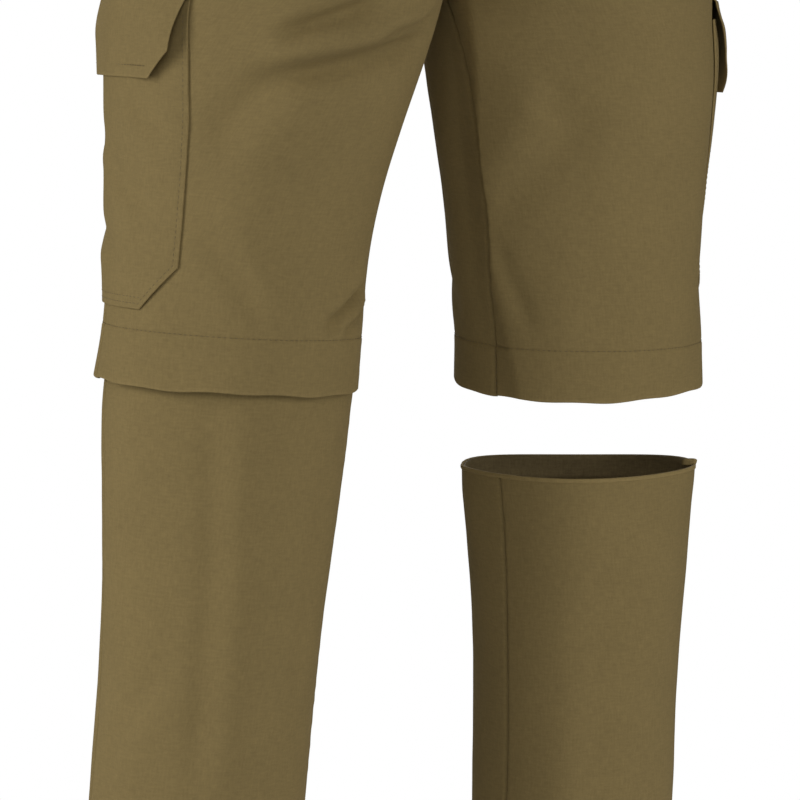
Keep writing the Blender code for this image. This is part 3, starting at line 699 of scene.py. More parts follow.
def canvas_finish(name, colour, pitch, contrast=1.0):
    """Plain-weave cotton: crossing threads of uneven thickness and tone, a soft large mottle,
    lighter folded edges, a painted highlight along the zip's rim and painted shade along the seams.
    All of it lies on the cloth's own place, in metres."""
    finish = Finish(name)
    place = finish.node("ShaderNodeAttribute", {"attribute_name": "weave"}, None, "Vector")
    # Tone of the edges: lighter folded edges, a painted highlight along the zip's rim, and painted shade along the
    # seams.
    rub = finish.node("ShaderNodeAttribute", {"attribute_name": "rub"}, None, "Fac")
    warp = finish.noise(finish.stretched(place, (1.0, 0.20, 1.0)), 720.0, 1.0)
    weft = finish.noise(finish.stretched(place, (0.20, 1.0, 1.0)), 720.0, 1.0)
    grain = finish.noise(place, 950.0, 2.0, 0.6)
    cloud = finish.noise(place, 26.0, 3.0, 0.55)
    parts = finish.node("ShaderNodeSeparateXYZ", None, {"Vector": place}, "X")
    across = Value(finish, parts.socket.node.outputs["X"])
    along = Value(finish, parts.socket.node.outputs["Y"])
    turn = 2.0 * math.pi / pitch
    checks = (across * turn).sine() * (along * turn).sine()
    tone = warp * 0.28 + weft * 0.28 + grain * 0.28 + cloud * 0.16
    # Folded edges raise the tone. The rim gets a painted highlight and the seams get painted shade.
    tone = (tone - 0.5) * (2.2 * contrast) + 0.5 + rub * 0.35
    tone = tone.math("MINIMUM", 1.0).math("MAXIMUM", 0.0)
    dark = tinted(colour, 0.80)
    light = tinted(colour, 1.20)
    height = checks * 0.35 + warp * 0.8 + weft * 0.8 + grain * 0.6
    relief = finish.node(
        "ShaderNodeBump", None, {"Strength": 0.32, "Distance": 0.00030, "Height": height}
    )
    finish.set(Base_Color=finish.mix(tone, dark, light), Normal=relief)
    finish.set(Roughness=0.93 - rub * 0.06)
    finish.set(Specular_IOR_Level=0.22, Sheen_Weight=0.10, Sheen_Roughness=0.55)
    finish.set(Sheen_Tint=tinted(colour, 3.0))
    return finish.material


def thread_finish(name, colour):
    """Sewing thread: fine slanted twist lines in tone and relief."""
    finish = Finish(name)
    place = finish.node("ShaderNodeTexCoord", None, None, "Object")
    twist = finish.noise(place, 2600.0, 1.0)
    finish.set(Base_Color=finish.mix(twist, tinted(colour, 0.75), tinted(colour, 1.2)))
    relief = finish.node("ShaderNodeBump", None, {"Strength": 0.3, "Distance": 0.0001, "Height": twist})
    finish.set(Normal=relief, Roughness=0.6, Specular_IOR_Level=0.35)
    return finish.material


def button_finish(name, colour):
    """Moulded plastic with faint cloudy streaks and fine scratches."""
    finish = Finish(name)
    place = finish.node("ShaderNodeTexCoord", None, None, "Object")
    cloud = finish.noise(finish.stretched(place, (1.0, 1.0, 3.0)), 180.0, 3.0)
    scratch = finish.noise(place, 1500.0, 2.0)
    finish.set(Base_Color=finish.mix(cloud, tinted(colour, 0.7), tinted(colour, 1.5)))
    relief = finish.node("ShaderNodeBump", None, {"Strength": 0.1, "Distance": 0.0001, "Height": scratch})
    finish.set(Normal=relief, Roughness=scratch * 0.2 + 0.3)
    return finish.material


def studio_finish(name, colour):
    """Matte studio paper with a barely uneven tone."""
    finish = Finish(name)
    place = finish.node("ShaderNodeTexCoord", None, None, "Object")
    cloud = finish.noise(place, 3.0, 3.0)
    finish.set(Base_Color=finish.mix(cloud, tinted(colour, 0.985), colour), Roughness=0.9)
    return finish.material


def shared(name, make, *values):
    """The material of that name, made on first use."""
    return bpy.data.materials.get(name) or make(name, *values)


def canvas():
    settings = bpy.context.scene.trousers_cloth
    return shared("canvas", canvas_finish, tuple(settings.colour), settings.pitch)


def thread():
    return shared("thread", thread_finish, tuple(bpy.context.scene.trousers_stitching.colour))


def graded(width, step, edges):
    """Shares from 0 to 1 across a width, with named distances from both edges and even between."""
    edges = np.asarray(edges)
    count = max(2, int(round((width - 2.0 * edges[-1]) / step)) + 1)
    middle = np.linspace(edges[-1], width - edges[-1], count)
    return np.concatenate([edges[:-1], middle, (width - edges[:-1])[::-1]]) / width


SEAM_EDGES = (0.0, 0.0003, 0.0007, 0.0012, 0.0019, 0.0029, 0.0045)
HEM_EDGES = (0.0, 0.0003, 0.0007, 0.0012, 0.0018, 0.0026)


def level_rows(top, bottom, step, fine):
    """Heights from top to bottom, even but for a closer spacing at the named fine levels."""
    rows = list(np.linspace(top, bottom, int(round((top - bottom) / step)) + 1))
    for level, reach, small in fine:
        count = int(round(2.0 * reach / small)) + 1
        rows = [z for z in rows if abs(z - level) > reach]
        rows += list(np.linspace(level - reach, level + reach, count))
    rows = [z for z in rows if bottom + HEM_EDGES[-1] < z <= top]
    rows += [bottom + edge for edge in HEM_EDGES]
    return np.array(sorted(set(np.round(rows, 6)), reverse=True))


def upper_rows(leg):
    """Levels of an upper panel's rows: even on the hips, closer at the crotch and the hem band."""
    levels = LEVELS[leg]
    top = -BAND_HALF_HEIGHT - SEAM_GAP
    hips = np.linspace(top, HIP_Z, 30)
    turn = np.radians(np.linspace(87.0, 0.0, 30))
    saddle = CROTCH_Z + (HIP_Z - CROTCH_Z) * (1.0 - np.cos(turn))
    thigh = level_rows(CROTCH_Z - 0.002, levels["hem"], 0.0034, [(levels["stitch"], 0.004, 0.0008)])
    return np.concatenate([hips, saddle, thigh])


def lower_rows(leg):
    """Levels of a lower panel's rows, closer under the rim and at the ankle's hem."""
    levels = LEVELS[leg]
    top = levels["rim"] - RIM_HEIGHT + RIM_LAP
    hem_stitch = levels["ankle"] + ANKLE_HEM
    rows = level_rows(top, levels["ankle"], 0.0048, [(hem_stitch, 0.004, 0.0008)])
    near_top = top - np.array([0.0003, 0.0008, 0.0014, 0.0022, 0.0034])
    return np.array(sorted(set(np.round(np.concatenate([rows, near_top]), 6)), reverse=True))


def panel_grid(leg, part, first, last, rows):
    """u, z and the metres from the first seam, over a panel drawn back from both seams."""
    z = rows[:, None]
    middle = 0.5 * (first + last)
    rate = metres_per_u(leg, part, np.full_like(z, middle), z)
    inset_first = 0.5 * SEAM_SLIT / metres_per_u(leg, part, np.full_like(z, first), z)
    inset_last = 0.5 * SEAM_SLIT / metres_per_u(leg, part, np.full_like(z, last), z)
    share = graded(FOLD_METRES_PER_U, 0.0028, SEAM_EDGES)[None, :]
    u = first + inset_first + (last - first - inset_first - inset_last) * share
    return u, z + 0.0 * u, share * rate * (last - first)


def sewn_line(distance, along, groove=0.00022):
    """A row of stitches pulls the cloth in: a narrow groove, deeper at each stitch, with small
    puckers that fade out beside it."""
    depth = 0.7 + 0.3 * np.cos(2.0 * math.pi * along / 0.0034)
    wander = 1.6 * np.sin(2.0 * math.pi * along / 0.061)
    pucker = np.sin(2.0 * math.pi * along / 0.0105 + wander)
    return -groove * bump(distance, 0.0011) * depth + 0.22 * groove * pucker * bump(distance, 0.008)


def seam_relief(edge, along_seam):
    """The cloth dips into a seam and puckers a little beside it."""
    pucker = np.sin(2.0 * math.pi * along_seam / 0.013 + 1.3 * np.sin(along_seam * 90.0))
    return -0.0011 * bump(edge, 0.0014) + 0.0002 * pucker * bump(edge, 0.007)


def hem_wave(along):
    """The slow rise and fall of a hem's edge."""
    return 0.0005 * np.sin(along / 0.017 + 0.6) + 0.0004 * np.sin(along / 0.0071)


def upper_panel(name, leg, first, last, node):
    """A front or back panel from the waistband to the short leg's hem. The hem band is turned up,
    so it is thicker than the cloth above it."""
    levels = LEVELS[leg]
    u, z, along = panel_grid(leg, "upper", first, last, upper_rows(leg))
    round_leg = along + first * FOLD_METRES_PER_U
    width = along[:, -1:]
    edge = np.minimum(along, width - along)
    above_hem = z - levels["hem"]
    band = smoothstep((levels["stitch"] - z) / 0.0015)
    outer = seam_relief(edge, z) + sewn_line(z - levels["stitch"], round_leg, 0.0004)
    outer = outer + 0.0003 * band - rolled(edge, 0.0005) - rolled(above_hem, 0.0008)
    inner = np.minimum(outer, 0.0) - WALL - 0.0006 * band
    inner = inner + rolled(edge, 0.0005) + 2.0 * rolled(above_hem, 0.0008)
    outer_points, _ = cloth(leg, "upper", u, z, outer)
    inner_points, _ = cloth(leg, "upper", u, z, inner)
    drop = hem_wave(round_leg) * smoothstep((levels["stitch"] - z) / 0.03)
    outer_points[..., 2] += drop
    inner_points[..., 2] += drop
    middle = 0 if first == 0.0 else -1
    for grid in (outer_points, inner_points):
        grid[z[:, 0] > CROTCH_Z, middle, 0] = 0.5 * SEAM_SLIT * SIDES[leg]
    # Lighter at the hem's folded edge, and painted shade: darker along the side seams.
    rub = 0.8 * bump(above_hem, 0.0016) - 1.6 * bump(edge, 0.0012)
    piece = add_wall(name, leg, outer_points, inner_points, canvas(), round_leg, z, rub)
    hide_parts(node)
    declare_cut(outer_points)
    return piece


def lower_panel(name, leg, first, last, node):
    """A front or back panel of a lower leg, from its zip to its ankle hem."""
    levels = LEVELS[leg]
    u, z, along = panel_grid(leg, "lower", first, last, lower_rows(leg))
    round_leg = along + first * FOLD_METRES_PER_U
    width = along[:, -1:]
    edge = np.minimum(along, width - along)
    top = levels["rim"] - RIM_HEIGHT + RIM_LAP
    above_hem = z - levels["ankle"]
    hem_stitch = levels["ankle"] + ANKLE_HEM
    band = smoothstep((hem_stitch - z) / 0.0015)
    outer = seam_relief(edge, z) + sewn_line(z - hem_stitch, round_leg)
    outer = outer + 0.0003 * band - rolled(edge, 0.0005) - rolled(above_hem, 0.0008)
    inner = np.minimum(outer, 0.0) - WALL - 0.0006 * band
    inner = inner + rolled(edge, 0.0005) + 2.0 * rolled(above_hem, 0.0008)
    near_zip = smoothstep((top - z) / 0.02)
    outer_points, _ = cloth(leg, "lower", u, z, outer, near_zip)
    inner_points, _ = cloth(leg, "lower", u, z, inner, near_zip)
    drop = hem_wave(round_leg) * smoothstep((hem_stitch - z) / ANKLE_HEM)
    outer_points[..., 2] += drop
    inner_points[..., 2] += drop
    # Lighter at the ankle hem's folded edge, and painted shade: darker along the side seams.
    rub = 0.7 * bump(above_hem, 0.0016) - 1.6 * bump(edge, 0.0012)
    piece = add_wall(name, leg, outer_points, inner_points, canvas(), round_leg, z, rub)
    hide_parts(node)
    declare_cut(outer_points)
    return piece


def pocket_span(leg):
    """The lowest and highest level of a cargo pocket."""
    bottom = LEVELS[leg]["stitch"] + POCKET_ABOVE_STITCH
    return bottom, bottom + POCKET_HEIGHT


def by_height(leg, pair, z):
    """Runs from the first value at the pocket's bottom to the second at its top."""
    return np.interp(z, pocket_span(leg), pair)


def pocket_lift(leg, across, z):
    """How far the pocket's inner face stands off the panel: a low belly between its edges."""
    bottom, top = pocket_span(leg)
    side = eased(POCKET_HALF_WIDTH - np.abs(across), POCKET_RISE)
    low = eased(z - bottom, POCKET_RISE)
    high = 0.4 + 0.6 * eased(top - z, POCKET_RISE)
    return POCKET_BASE + by_height(leg, POCKET_BELLY[leg], z) * side * low * high


def pocket_patch(leg, across, z, offset):
    """Points and normals at a distance round the leg from the pocket's middle, moved out by an
    offset."""
    from_seam = across + by_height(leg, POCKET_SHIFT[leg], z)
    u = 1.0 + from_seam / metres_per_u(leg, "upper", np.ones_like(z), z)
    return cloth(leg, "upper", u, z, offset)


def pocket_folds(leg, across, up):
    """The soft diagonal folds of a filled pocket."""
    total = np.zeros(across.shape)
    turn = -1.0 if leg == "left" else 1.0
    for x0, y0, x1, y1, width, depth in POCKET_FOLD_ROWS:
        run_x, run_y = (x1 - x0), (y1 - y0)
        length = math.hypot(run_x, run_y)
        from_x, from_y = turn * across - x0, up - y0
        along = (from_x * run_x + from_y * run_y) / length**2
        aside = (from_x * run_y - from_y * run_x) / length
        total = total + trough(along, aside, width, depth, 0.5)
    return total


def pocket_edge(across, up, half):
    """The distance to the nearest edge of a pocket, its cut corners included."""
    side = half - np.abs(across)
    corner = (up + side - POCKET_CHAMFER) / math.sqrt(2.0)
    return np.minimum(np.minimum(side, up), np.where(up < POCKET_CHAMFER, corner, side))


def corner_rows(length, cut, step):
    """Heights above a patch's bottom, closer near both ends and at the top of its cut corners."""
    edges = np.array(SEAM_EDGES)
    even = np.linspace(edges[-1], length - edges[-1], int(length / step))
    near = cut + np.array([-0.0008, 0.0, 0.0008])
    rows = np.concatenate([edges, even, near, length - edges])
    return np.array(sorted(set(np.round(rows, 6)), reverse=True))


def cargo_pocket(name, leg, node):
    """A patch over the outseam with two cut corners, turned-in edges, stitches along its edge and
    over its turned-up bottom, and soft folds."""
    bottom, top = pocket_span(leg)
    up = corner_rows(POCKET_HEIGHT, POCKET_CHAMFER, 0.0026)[:, None]
    half = POCKET_HALF_WIDTH - np.maximum(0.0, POCKET_CHAMFER - up)
    share = 2.0 * graded(2.0 * POCKET_HALF_WIDTH, 0.0026, SEAM_EDGES)[None, :] - 1.0
    across = half * share
    up = up + 0.0 * across
    z = bottom + up
    edge = pocket_edge(across, up, POCKET_HALF_WIDTH)
    lift = pocket_lift(leg, across, z)
    inside = smoothstep(edge / 0.020)
    fold = pocket_folds(leg, across, up) * inside
    sewn = sewn_line(edge - POCKET_SEWN, z - across, 0.00014)
    sewn = sewn * smoothstep((top - 0.006 - z) / 0.004)
    sewn = sewn + sewn_line(up - POCKET_TURNED, across, 0.00014) * smoothstep((edge - 0.006) / 0.001)
    outer = lift + FOLDED_WALL + fold + sewn - rolled(edge, 0.0006)
    inner = lift + np.minimum(fold, 0.0) * 0.6 + 0.4 * rolled(edge, 0.0008)
    outer_points, _ = pocket_patch(leg, across, z, outer)
    inner_points, _ = pocket_patch(leg, across, z, inner)
    rub = 0.5 * bump(edge, 0.0010)
    piece = add_wall(name, leg, outer_points, inner_points, canvas(), across, z, rub)
    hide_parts(node)
    declare_cut(outer_points)
    return piece


def flap_shape(leg, up):
    """Half width and lift of a flap's row at a height above its bottom."""
    down = 1.0 - up / FLAP_HEIGHT
    cut = np.maximum(0.0, 1.0 - up / FLAP_CHAMFER_Z) * FLAP_CHAMFER_X
    return FLAP_HALF_WIDTH - FLAP_TAPER * down - cut


def flap_edge(across, up):
    """The distance to the nearest edge of a flap, its cut corners included."""
    down = 1.0 - up / FLAP_HEIGHT
    side = FLAP_HALF_WIDTH - FLAP_TAPER * down - np.abs(across)
    slant = math.hypot(FLAP_CHAMFER_X, FLAP_CHAMFER_Z)
    corner = (FLAP_CHAMFER_X * up + FLAP_CHAMFER_Z * (side - FLAP_CHAMFER_X)) / slant
    return np.minimum(np.minimum(side, up), corner)


def flap_lift(leg, across, z):
    """How far a flap's inner face stands off the panel: clear of the pocket, more so lower down."""
    pocket_bottom, pocket_top = pocket_span(leg)
    bottom = pocket_bottom + FLAP_ABOVE_POCKET_BOTTOM[leg]
    down = 1.0 - (z - bottom) / FLAP_HEIGHT
    over = pocket_lift(leg, across, np.minimum(z, pocket_top)) + FOLDED_WALL + FLAP_CLEAR
    side = smoothstep(np.abs(across) / FLAP_MIDDLE - 0.4)
    over = over + FLAP_STANDOFF[leg] * smoothstep(down / FLAP_RISE[leg]) * side
    over = over + FLAP_FLARE[leg] * np.maximum(0.0, (down - 0.6) / 0.4) ** 2 * side
    return POCKET_BASE + (over - POCKET_BASE) * smoothstep(down / 0.05)


def cargo_flap(name, leg, node):
    """A flap sewn above the pocket, with two cut corners, a rolled edge and a row of stitches."""
    pocket_bottom, _ = pocket_span(leg)
    bottom = pocket_bottom + FLAP_ABOVE_POCKET_BOTTOM[leg]
    up = corner_rows(FLAP_HEIGHT, FLAP_CHAMFER_Z, 0.0020)[:, None]
    share = 2.0 * graded(2.0 * FLAP_HALF_WIDTH, 0.0026, SEAM_EDGES)[None, :] - 1.0
    across = flap_shape(leg, up) * share
    up = up + 0.0 * across
    z = bottom + up
    edge = flap_edge(across, up)
    lift = flap_lift(leg, across, z)
    wave = 0.0006 * np.sin(across / 0.019 + 0.8) * smoothstep(1.0 - up / FLAP_HEIGHT)
    turned = smoothstep((edge - FLAP_TURNED + 0.001) / 0.001)
    sewn = sewn_line(up - FLAP_TURNED, across, 0.00012) * turned
    sewn = sewn + sewn_line(FLAP_HEIGHT - up - 0.0025, across)
    outer = lift + FOLDED_WALL + wave + sewn - rolled(edge, 0.0008)
    inner = lift + wave + rolled(edge, 0.0008)
    outer_points, _ = pocket_patch(leg, across, z, outer)
    inner_points, _ = pocket_patch(leg, across, z, inner)
    rub = 0.8 * bump(edge, 0.0013)
    piece = add_wall(name, leg, outer_points, inner_points, canvas(), across, z, rub)
    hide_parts(node)
    declare_cut(outer_points)
    return piece


def band_raise(around):
    """How far the waistband's upper end lies out over its lower end, easing in on a ramp."""
    ramp_end = -2.0 * math.pi + waist_angle(BAND_UNDER_END + 0.004)
    ramp_start = -2.0 * math.pi + waist_angle(BAND_UNDER_END + 0.004 + BAND_RAMP)
    return BAND_OVER * smoothstep((ramp_start - around) / (ramp_start - ramp_end))


def band_radius():
    return float(curve(TORSO, "half_width", 0.0) + curve(TORSO, "front", 0.0)) / 2.0


def waistband_strip():
    """A doubled strip round the waist: rolled edges, a row of stitches along each long edge, and
    its left end over its right end at the centre front."""
    start = -2.0 * math.pi + waist_angle(BAND_OVER_END)
    end = waist_angle(BAND_UNDER_END)
    length = (end - start) * band_radius()
    around = start + (end - start) * graded(length, 0.0032, SEAM_EDGES)[None, :]
    edges = np.array(SEAM_EDGES)
    up = np.concatenate([edges, np.linspace(0.006, 0.034, 12), 2.0 * BAND_HALF_HEIGHT - edges])
    z = BAND_HALF_HEIGHT - np.sort(up)[:, None]
    around, z = np.broadcast_arrays(around, z)
    along = (around - start) * band_radius()
    edge_end = np.minimum(along, length - along)
    edge = np.minimum(BAND_HALF_HEIGHT - np.abs(z), edge_end)
    sewn = sewn_line(edge - 0.0025, along + z)
    raised = band_raise(around)
    outer = raised + BAND_OUT + sewn - rolled(edge, 0.0011)
    inner = raised - BAND_IN + rolled(edge, 0.0011)
    outer_points, _ = waist(around, z, outer)
    inner_points, _ = waist(around, z, inner)
    rub = 0.8 * bump(edge, 0.0014)
    piece = add_wall(
        "waistband_cloth", "left", outer_points, inner_points, canvas(), along, z, rub
    )
    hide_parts("waistband")
    declare_cut(outer_points)
    return piece


def button_frame():
    """The button's seat on the waistband, with its outward, sideways and upward directions."""
    around = waist_angle(BUTTON_X)
    seat, normal = waist(around, 0.0, BAND_OVER + BAND_OUT + SEAM_GAP)
    side = np.cross(normal, (0.0, 0.0, 1.0))
    side = side / np.linalg.norm(side)
    return seat, normal, side, np.cross(normal, side)


def waist_button():
    """A turned button: its profile of radius and height is carried round the outward normal. Its
    face is dished, with a raised rounded rim."""
    seat, normal, side, up = button_frame()
    radius, thick = BUTTON_RADIUS, BUTTON_THICKNESS
    profile = np.array([
        (0.0, 0.10), (0.50, 0.10), (0.80, 0.13), (0.93, 0.25), (0.99, 0.45), (1.00, 0.60),
        (0.98, 0.78), (0.93, 0.92), (0.86, 1.00), (0.79, 0.97), (0.73, 0.86), (0.66, 0.74),
        (0.50, 0.70), (0.25, 0.70), (0.0, 0.70),
    ])
    turns = np.arange(64) * 2.0 * math.pi / 64
    circle = np.cos(turns)[:, None] * side + np.sin(turns)[:, None] * up
    rings = seat + circle[None] * (profile[1:-1, 0] * radius)[:, None, None]
    rings = rings + normal * (profile[1:-1, 1] * thick)[:, None, None]
    low = seat + normal * profile[0, 1] * thick
    high = seat + normal * profile[-1, 1] * thick
    points = np.concatenate([low[None], rings.reshape(-1, 3), high[None]])
    count = len(turns)
    j = np.arange(count)
    k = (j + 1) % count
    faces = [list(f) for f in np.stack([0 * j, 1 + k, 1 + j], 1)]
    for ring in range(len(profile) - 3):
        a = 1 + ring * count
        b = a + count
        faces += [list(f) for f in np.stack([a + j, a + k, b + k, b + j], 1)]
    top = 1 + (len(profile) - 3) * count
    faces += [list(f) for f in np.stack([top + j, top + k, 0 * j + len(points) - 1], 1)]
    colour = tuple(bpy.context.scene.trousers_cloth.button_colour)
    finish = shared("button", button_finish, colour)
    piece = add_piece("button_turned", points, faces, finish)
    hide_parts("waist_button")
    return piece


def fly_strip():
    """The strip behind the fly's opening, on the left front's inner face."""
    rows = np.linspace(-BAND_HALF_HEIGHT - SEAM_GAP, FLY_SHIELD_BOTTOM, 50)[:, None]
    share = graded(FLY_WIDTH, 0.0025, SEAM_EDGES[:5])[None, :]
    u = share * FLY_WIDTH / metres_per_u("left", "upper", np.full_like(rows, 0.1), rows)
    start = 0.5 * SEAM_GAP / metres_per_u("left", "upper", np.zeros_like(rows), rows)
    u = start + u
    z = rows + 0.0 * u
    along = share * FLY_WIDTH + 0.0 * z
    edge = np.minimum(np.minimum(along, FLY_WIDTH - along), z - FLY_SHIELD_BOTTOM)
    outer = -WALL - SEAM_GAP - 0.5 * WALL - rolled(edge, 0.0005)
    inner = outer - WALL + 2.0 * rolled(edge, 0.0005)
    outer_points, _ = cloth("left", "upper", u, z, outer)
    inner_points, _ = cloth("left", "upper", u, z, inner)
    piece = add_wall(
        "fly_strip_cloth", "left", outer_points, inner_points, canvas(), along, z
    )
    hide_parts("fly_shield")
    declare_cut(outer_points)
    return piece


def tape(name, leg, part, top, bottom, node):
    """A woven zip tape round the inside of a leg."""
    u = np.linspace(0.0, 2.0, 241)[:-1][None, :]
    z = np.linspace(top, bottom, 6)[:, None]
    u, z = np.broadcast_arrays(u, z)
    relief = 1.0 if part == "upper" else 0.0
    outer, _ = cloth(leg, part, u, z, -TAPE_INNER - 0.0004 * relief, relief)
    inner, _ = cloth(leg, part, u, z, -TAPE_INNER - TAPE_WALL - 0.0004 * relief, relief)
    settings = bpy.context.scene.trousers_cloth
    finish = shared("zip_tape", canvas_finish, tuple(settings.tape_colour), 0.0005, 2.0)
    along = u * FOLD_METRES_PER_U
    piece = add_wall(name, leg, outer, inner, finish, along, z, closed=True)
    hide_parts(node)
    if top - bottom >= SHORTEST_CUT:
        declare_cut(outer)
    return piece


def rim(name, leg, node):
    """The rolled edge that carries the teeth: a rounded section, 4 mm high, carried round the leg
    just above the panels. Its outer face is cloth, so it keeps the cloth's finish."""
    top = LEVELS[leg]["rim"]
    middle = 0.5 * (RIM_OUT - RIM_IN)
    half_width = 0.5 * (RIM_OUT + RIM_IN)
    half_height = 0.5 * RIM_HEIGHT
    turns = np.arange(16) * 2.0 * math.pi / 16
    across = np.sign(np.cos(turns)) * np.abs(np.cos(turns)) ** 0.7
    up = -np.sign(np.sin(turns)) * np.abs(np.sin(turns)) ** 0.7
    u = np.linspace(0.0, 2.0, 321)[:-1]
    twist = 0.00012 * np.sin(u * FOLD_METRES_PER_U * 2.0 * math.pi / 0.0105)
    z = top - half_height + up[:, None] * half_height + 0.0 * u
    offset = middle + across[:, None] * half_width + twist[None, :] * (across[:, None] > 0)
    points, _ = cloth(leg, "lower", u[None, :] + 0.0 * z, z, offset, 0.0)
    faces = tube_faces(len(turns), len(u), SIDES[leg] < 0.0)
    along = np.broadcast_to(u * FOLD_METRES_PER_U, z.shape)
    flat = np.stack([along.ravel(), z.ravel(), np.zeros(z.size)], 1)
    # Painted highlight: the whole rim's cloth is made lighter.
    attributes = {"weave": flat, "rub": np.full(z.size, 1.1)}
    piece = add_piece(name, points, faces, canvas(), attributes)
    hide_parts(node)
    return piece


def teeth(name, leg, part, level, offset, direction):
    """The zip's coil: one small rounded tooth every pitch, on the tape's edge. Each is a six-sided
    block tapered towards the edge, and all are one mesh."""
    u_fine = np.linspace(0.0, 2.0, 2001)
    path, normals = cloth(leg, part, u_fine, np.full_like(u_fine, level), offset, 0.0)
    places, tangents, outs = spaced(path, normals, TOOTH_PITCH)
    ups = np.cross(outs, tangents) * -1.0
    ups = np.where(ups[:, 2:3] * direction < 0.0, -ups, ups)
    block = np.array([(x, y, w) for w in (0.0, 1.0) for x, y in ((-1, -1), (1, -1), (1, 1), (-1, 1))])
    half_along, half_out, reach = 0.00045, 0.0006, 0.0016
    taper = 1.0 - 0.45 * block[:, 2]
    local = block * np.stack([half_along * taper, half_out * taper, np.full(8, reach)], 1)
    points = (
        places[:, None] + local[None, :, 0:1] * tangents[:, None]
        + local[None, :, 1:2] * outs[:, None] + local[None, :, 2:3] * ups[:, None]
    )
    quads = np.array([(0, 3, 2, 1), (4, 5, 6, 7), (0, 1, 5, 4), (1, 2, 6, 5), (2, 3, 7, 6), (3, 0, 4, 7)])
    handed = np.einsum("ij,ij->i", np.cross(tangents, outs), ups) < 0.0
    faces = quads[None] + (np.arange(len(places)) * 8)[:, None, None]
    faces = np.where(handed[:, None, None], faces[..., ::-1], faces)
    colour = tuple(bpy.context.scene.trousers_cloth.tape_colour)
    finish = shared("zip_coil", button_finish, tinted(colour, 0.5))
    return add_piece(name, points, faces.reshape(-1, 4), finish)


def spaced(path, normals, pitch):
    """Points of a path at equal steps of its length, with their tangents and normals."""
    lengths = np.concatenate([[0.0], np.cumsum(np.linalg.norm(np.diff(path, axis=0), axis=1))])
    count = max(1, int(lengths[-1] / pitch))
    at = (np.arange(count) + 0.5) * lengths[-1] / count
    places = np.stack([np.interp(at, lengths, path[:, i]) for i in range(3)], 1)
    ahead = np.stack([np.interp(at + 0.2 * pitch, lengths, path[:, i]) for i in range(3)], 1)
    behind = np.stack([np.interp(at - 0.2 * pitch, lengths, path[:, i]) for i in range(3)], 1)
    tangents = ahead - behind
    tangents /= np.linalg.norm(tangents, axis=1, keepdims=True)
    outs = np.stack([np.interp(at, lengths, normals[:, i]) for i in range(3)], 1)
    outs -= tangents * np.einsum("ij,ij->i", outs, tangents)[:, None]
    outs /= np.linalg.norm(outs, axis=1, keepdims=True)
    return places, tangents, outs


def sew(name, paths):
    """Rows of stitches as one mesh: each stitch is a small spindle of five sides, x = t L / 2 and
    radius = w / 2 times sqrt(1 - t^4), half sunk into its groove."""
    settings = bpy.context.scene.trousers_stitching
    source = np.random.default_rng(5)
    sections = np.array([-0.8, 0.0, 0.8])
    around = np.arange(5) * 2.0 * math.pi / 5 + 0.3
    radius = 0.5 * settings.width * np.sqrt(1.0 - sections**4)
    ring = np.stack([np.zeros(5), np.cos(around), np.sin(around)], 1)
    body = sections[:, None, None] * np.array([0.5 * settings.length, 0.0, 0.0])
    body = body + ring[None] * radius[:, None, None]
    ends = np.array([(-0.5 * settings.length, 0.0, 0.0), (0.5 * settings.length, 0.0, 0.0)])
    local = np.concatenate([body.reshape(-1, 3), ends])
    j = np.arange(5)
    k = (j + 1) % 5
    quads = np.concatenate([np.stack([5 * s + j, 5 * s + 5 + j, 5 * s + 5 + k, 5 * s + k], 1) for s in range(2)])
    caps = np.concatenate([np.stack([k, 0 * j + 15, j], 1), np.stack([10 + j, 0 * j + 16, 10 + k], 1)])
    all_points = []
    all_quads = []
    all_caps = []
    base = 0
    for path, normals in paths:
        places, tangents, outs = spaced(path, normals, settings.length + settings.gap)
        sides = np.cross(outs, tangents)
        skew = source.uniform(-0.07, 0.07, len(places))[:, None]
        tangents = tangents + skew * sides
        sides = sides - skew * tangents
        points = (
            places[:, None] + local[None, :, 0:1] * tangents[:, None]
            + local[None, :, 1:2] * sides[:, None] + local[None, :, 2:3] * outs[:, None]
        )
        starts = base + np.arange(len(places)) * len(local)
        all_points.append(points.reshape(-1, 3))
        all_quads.append((quads[None] + starts[:, None, None]).reshape(-1, 4))
        all_caps.append((caps[None] + starts[:, None, None]).reshape(-1, 3))
        base += len(places) * len(local)
    faces = [list(f) for f in np.concatenate(all_quads)] + [list(f) for f in np.concatenate(all_caps)]
    return add_piece(name, np.concatenate(all_points), faces, thread())


def level_path(leg, part, level, offset, first=0.0, last=2.0, relief=1.0, lift_band=None):
    """A path round a leg at one level, just above the cloth."""
    u = np.linspace(first, last, 1200)
    points, normals = cloth(leg, part, u, np.full_like(u, level), offset, relief)
    if lift_band is not None:
        points[:, 2] += hem_wave(u * FOLD_METRES_PER_U) * lift_band
    return points, normals


def patch_path(leg, corners, lift):
    """A path over straight runs between corners given as metres from the outseam and level."""
    runs = []
    for (x0, z0), (x1, z1) in zip(corners[:-1], corners[1:]):
        count = max(12, int(math.hypot(x1 - x0, z1 - z0) / 0.0008))
        share = np.linspace(0.0, 1.0, count)
        runs.append(np.stack([x0 + (x1 - x0) * share, z0 + (z1 - z0) * share], 1))
    flat = np.concatenate(runs)
    return pocket_patch(leg, flat[:, 0], flat[:, 1], lift(flat[:, 0], flat[:, 1]))


def inset_outline(half_low, half_high, cut_x, cut_z, bottom, top, inset):
    """The side, cut corner, bottom, cut corner and side of a patch, drawn in by an inset."""
    low = bottom + inset
    shift = inset * (cut_z + cut_x - math.hypot(cut_x, cut_z)) / cut_z
    x_low = half_low - cut_x - shift * 0.55
    return [
        (-half_high + inset, top), (-half_low + inset, bottom + cut_z + 0.3 * inset),
        (-x_low, low), (x_low, low),
        (half_low - inset, bottom + cut_z + 0.3 * inset), (half_high - inset, top),
    ]


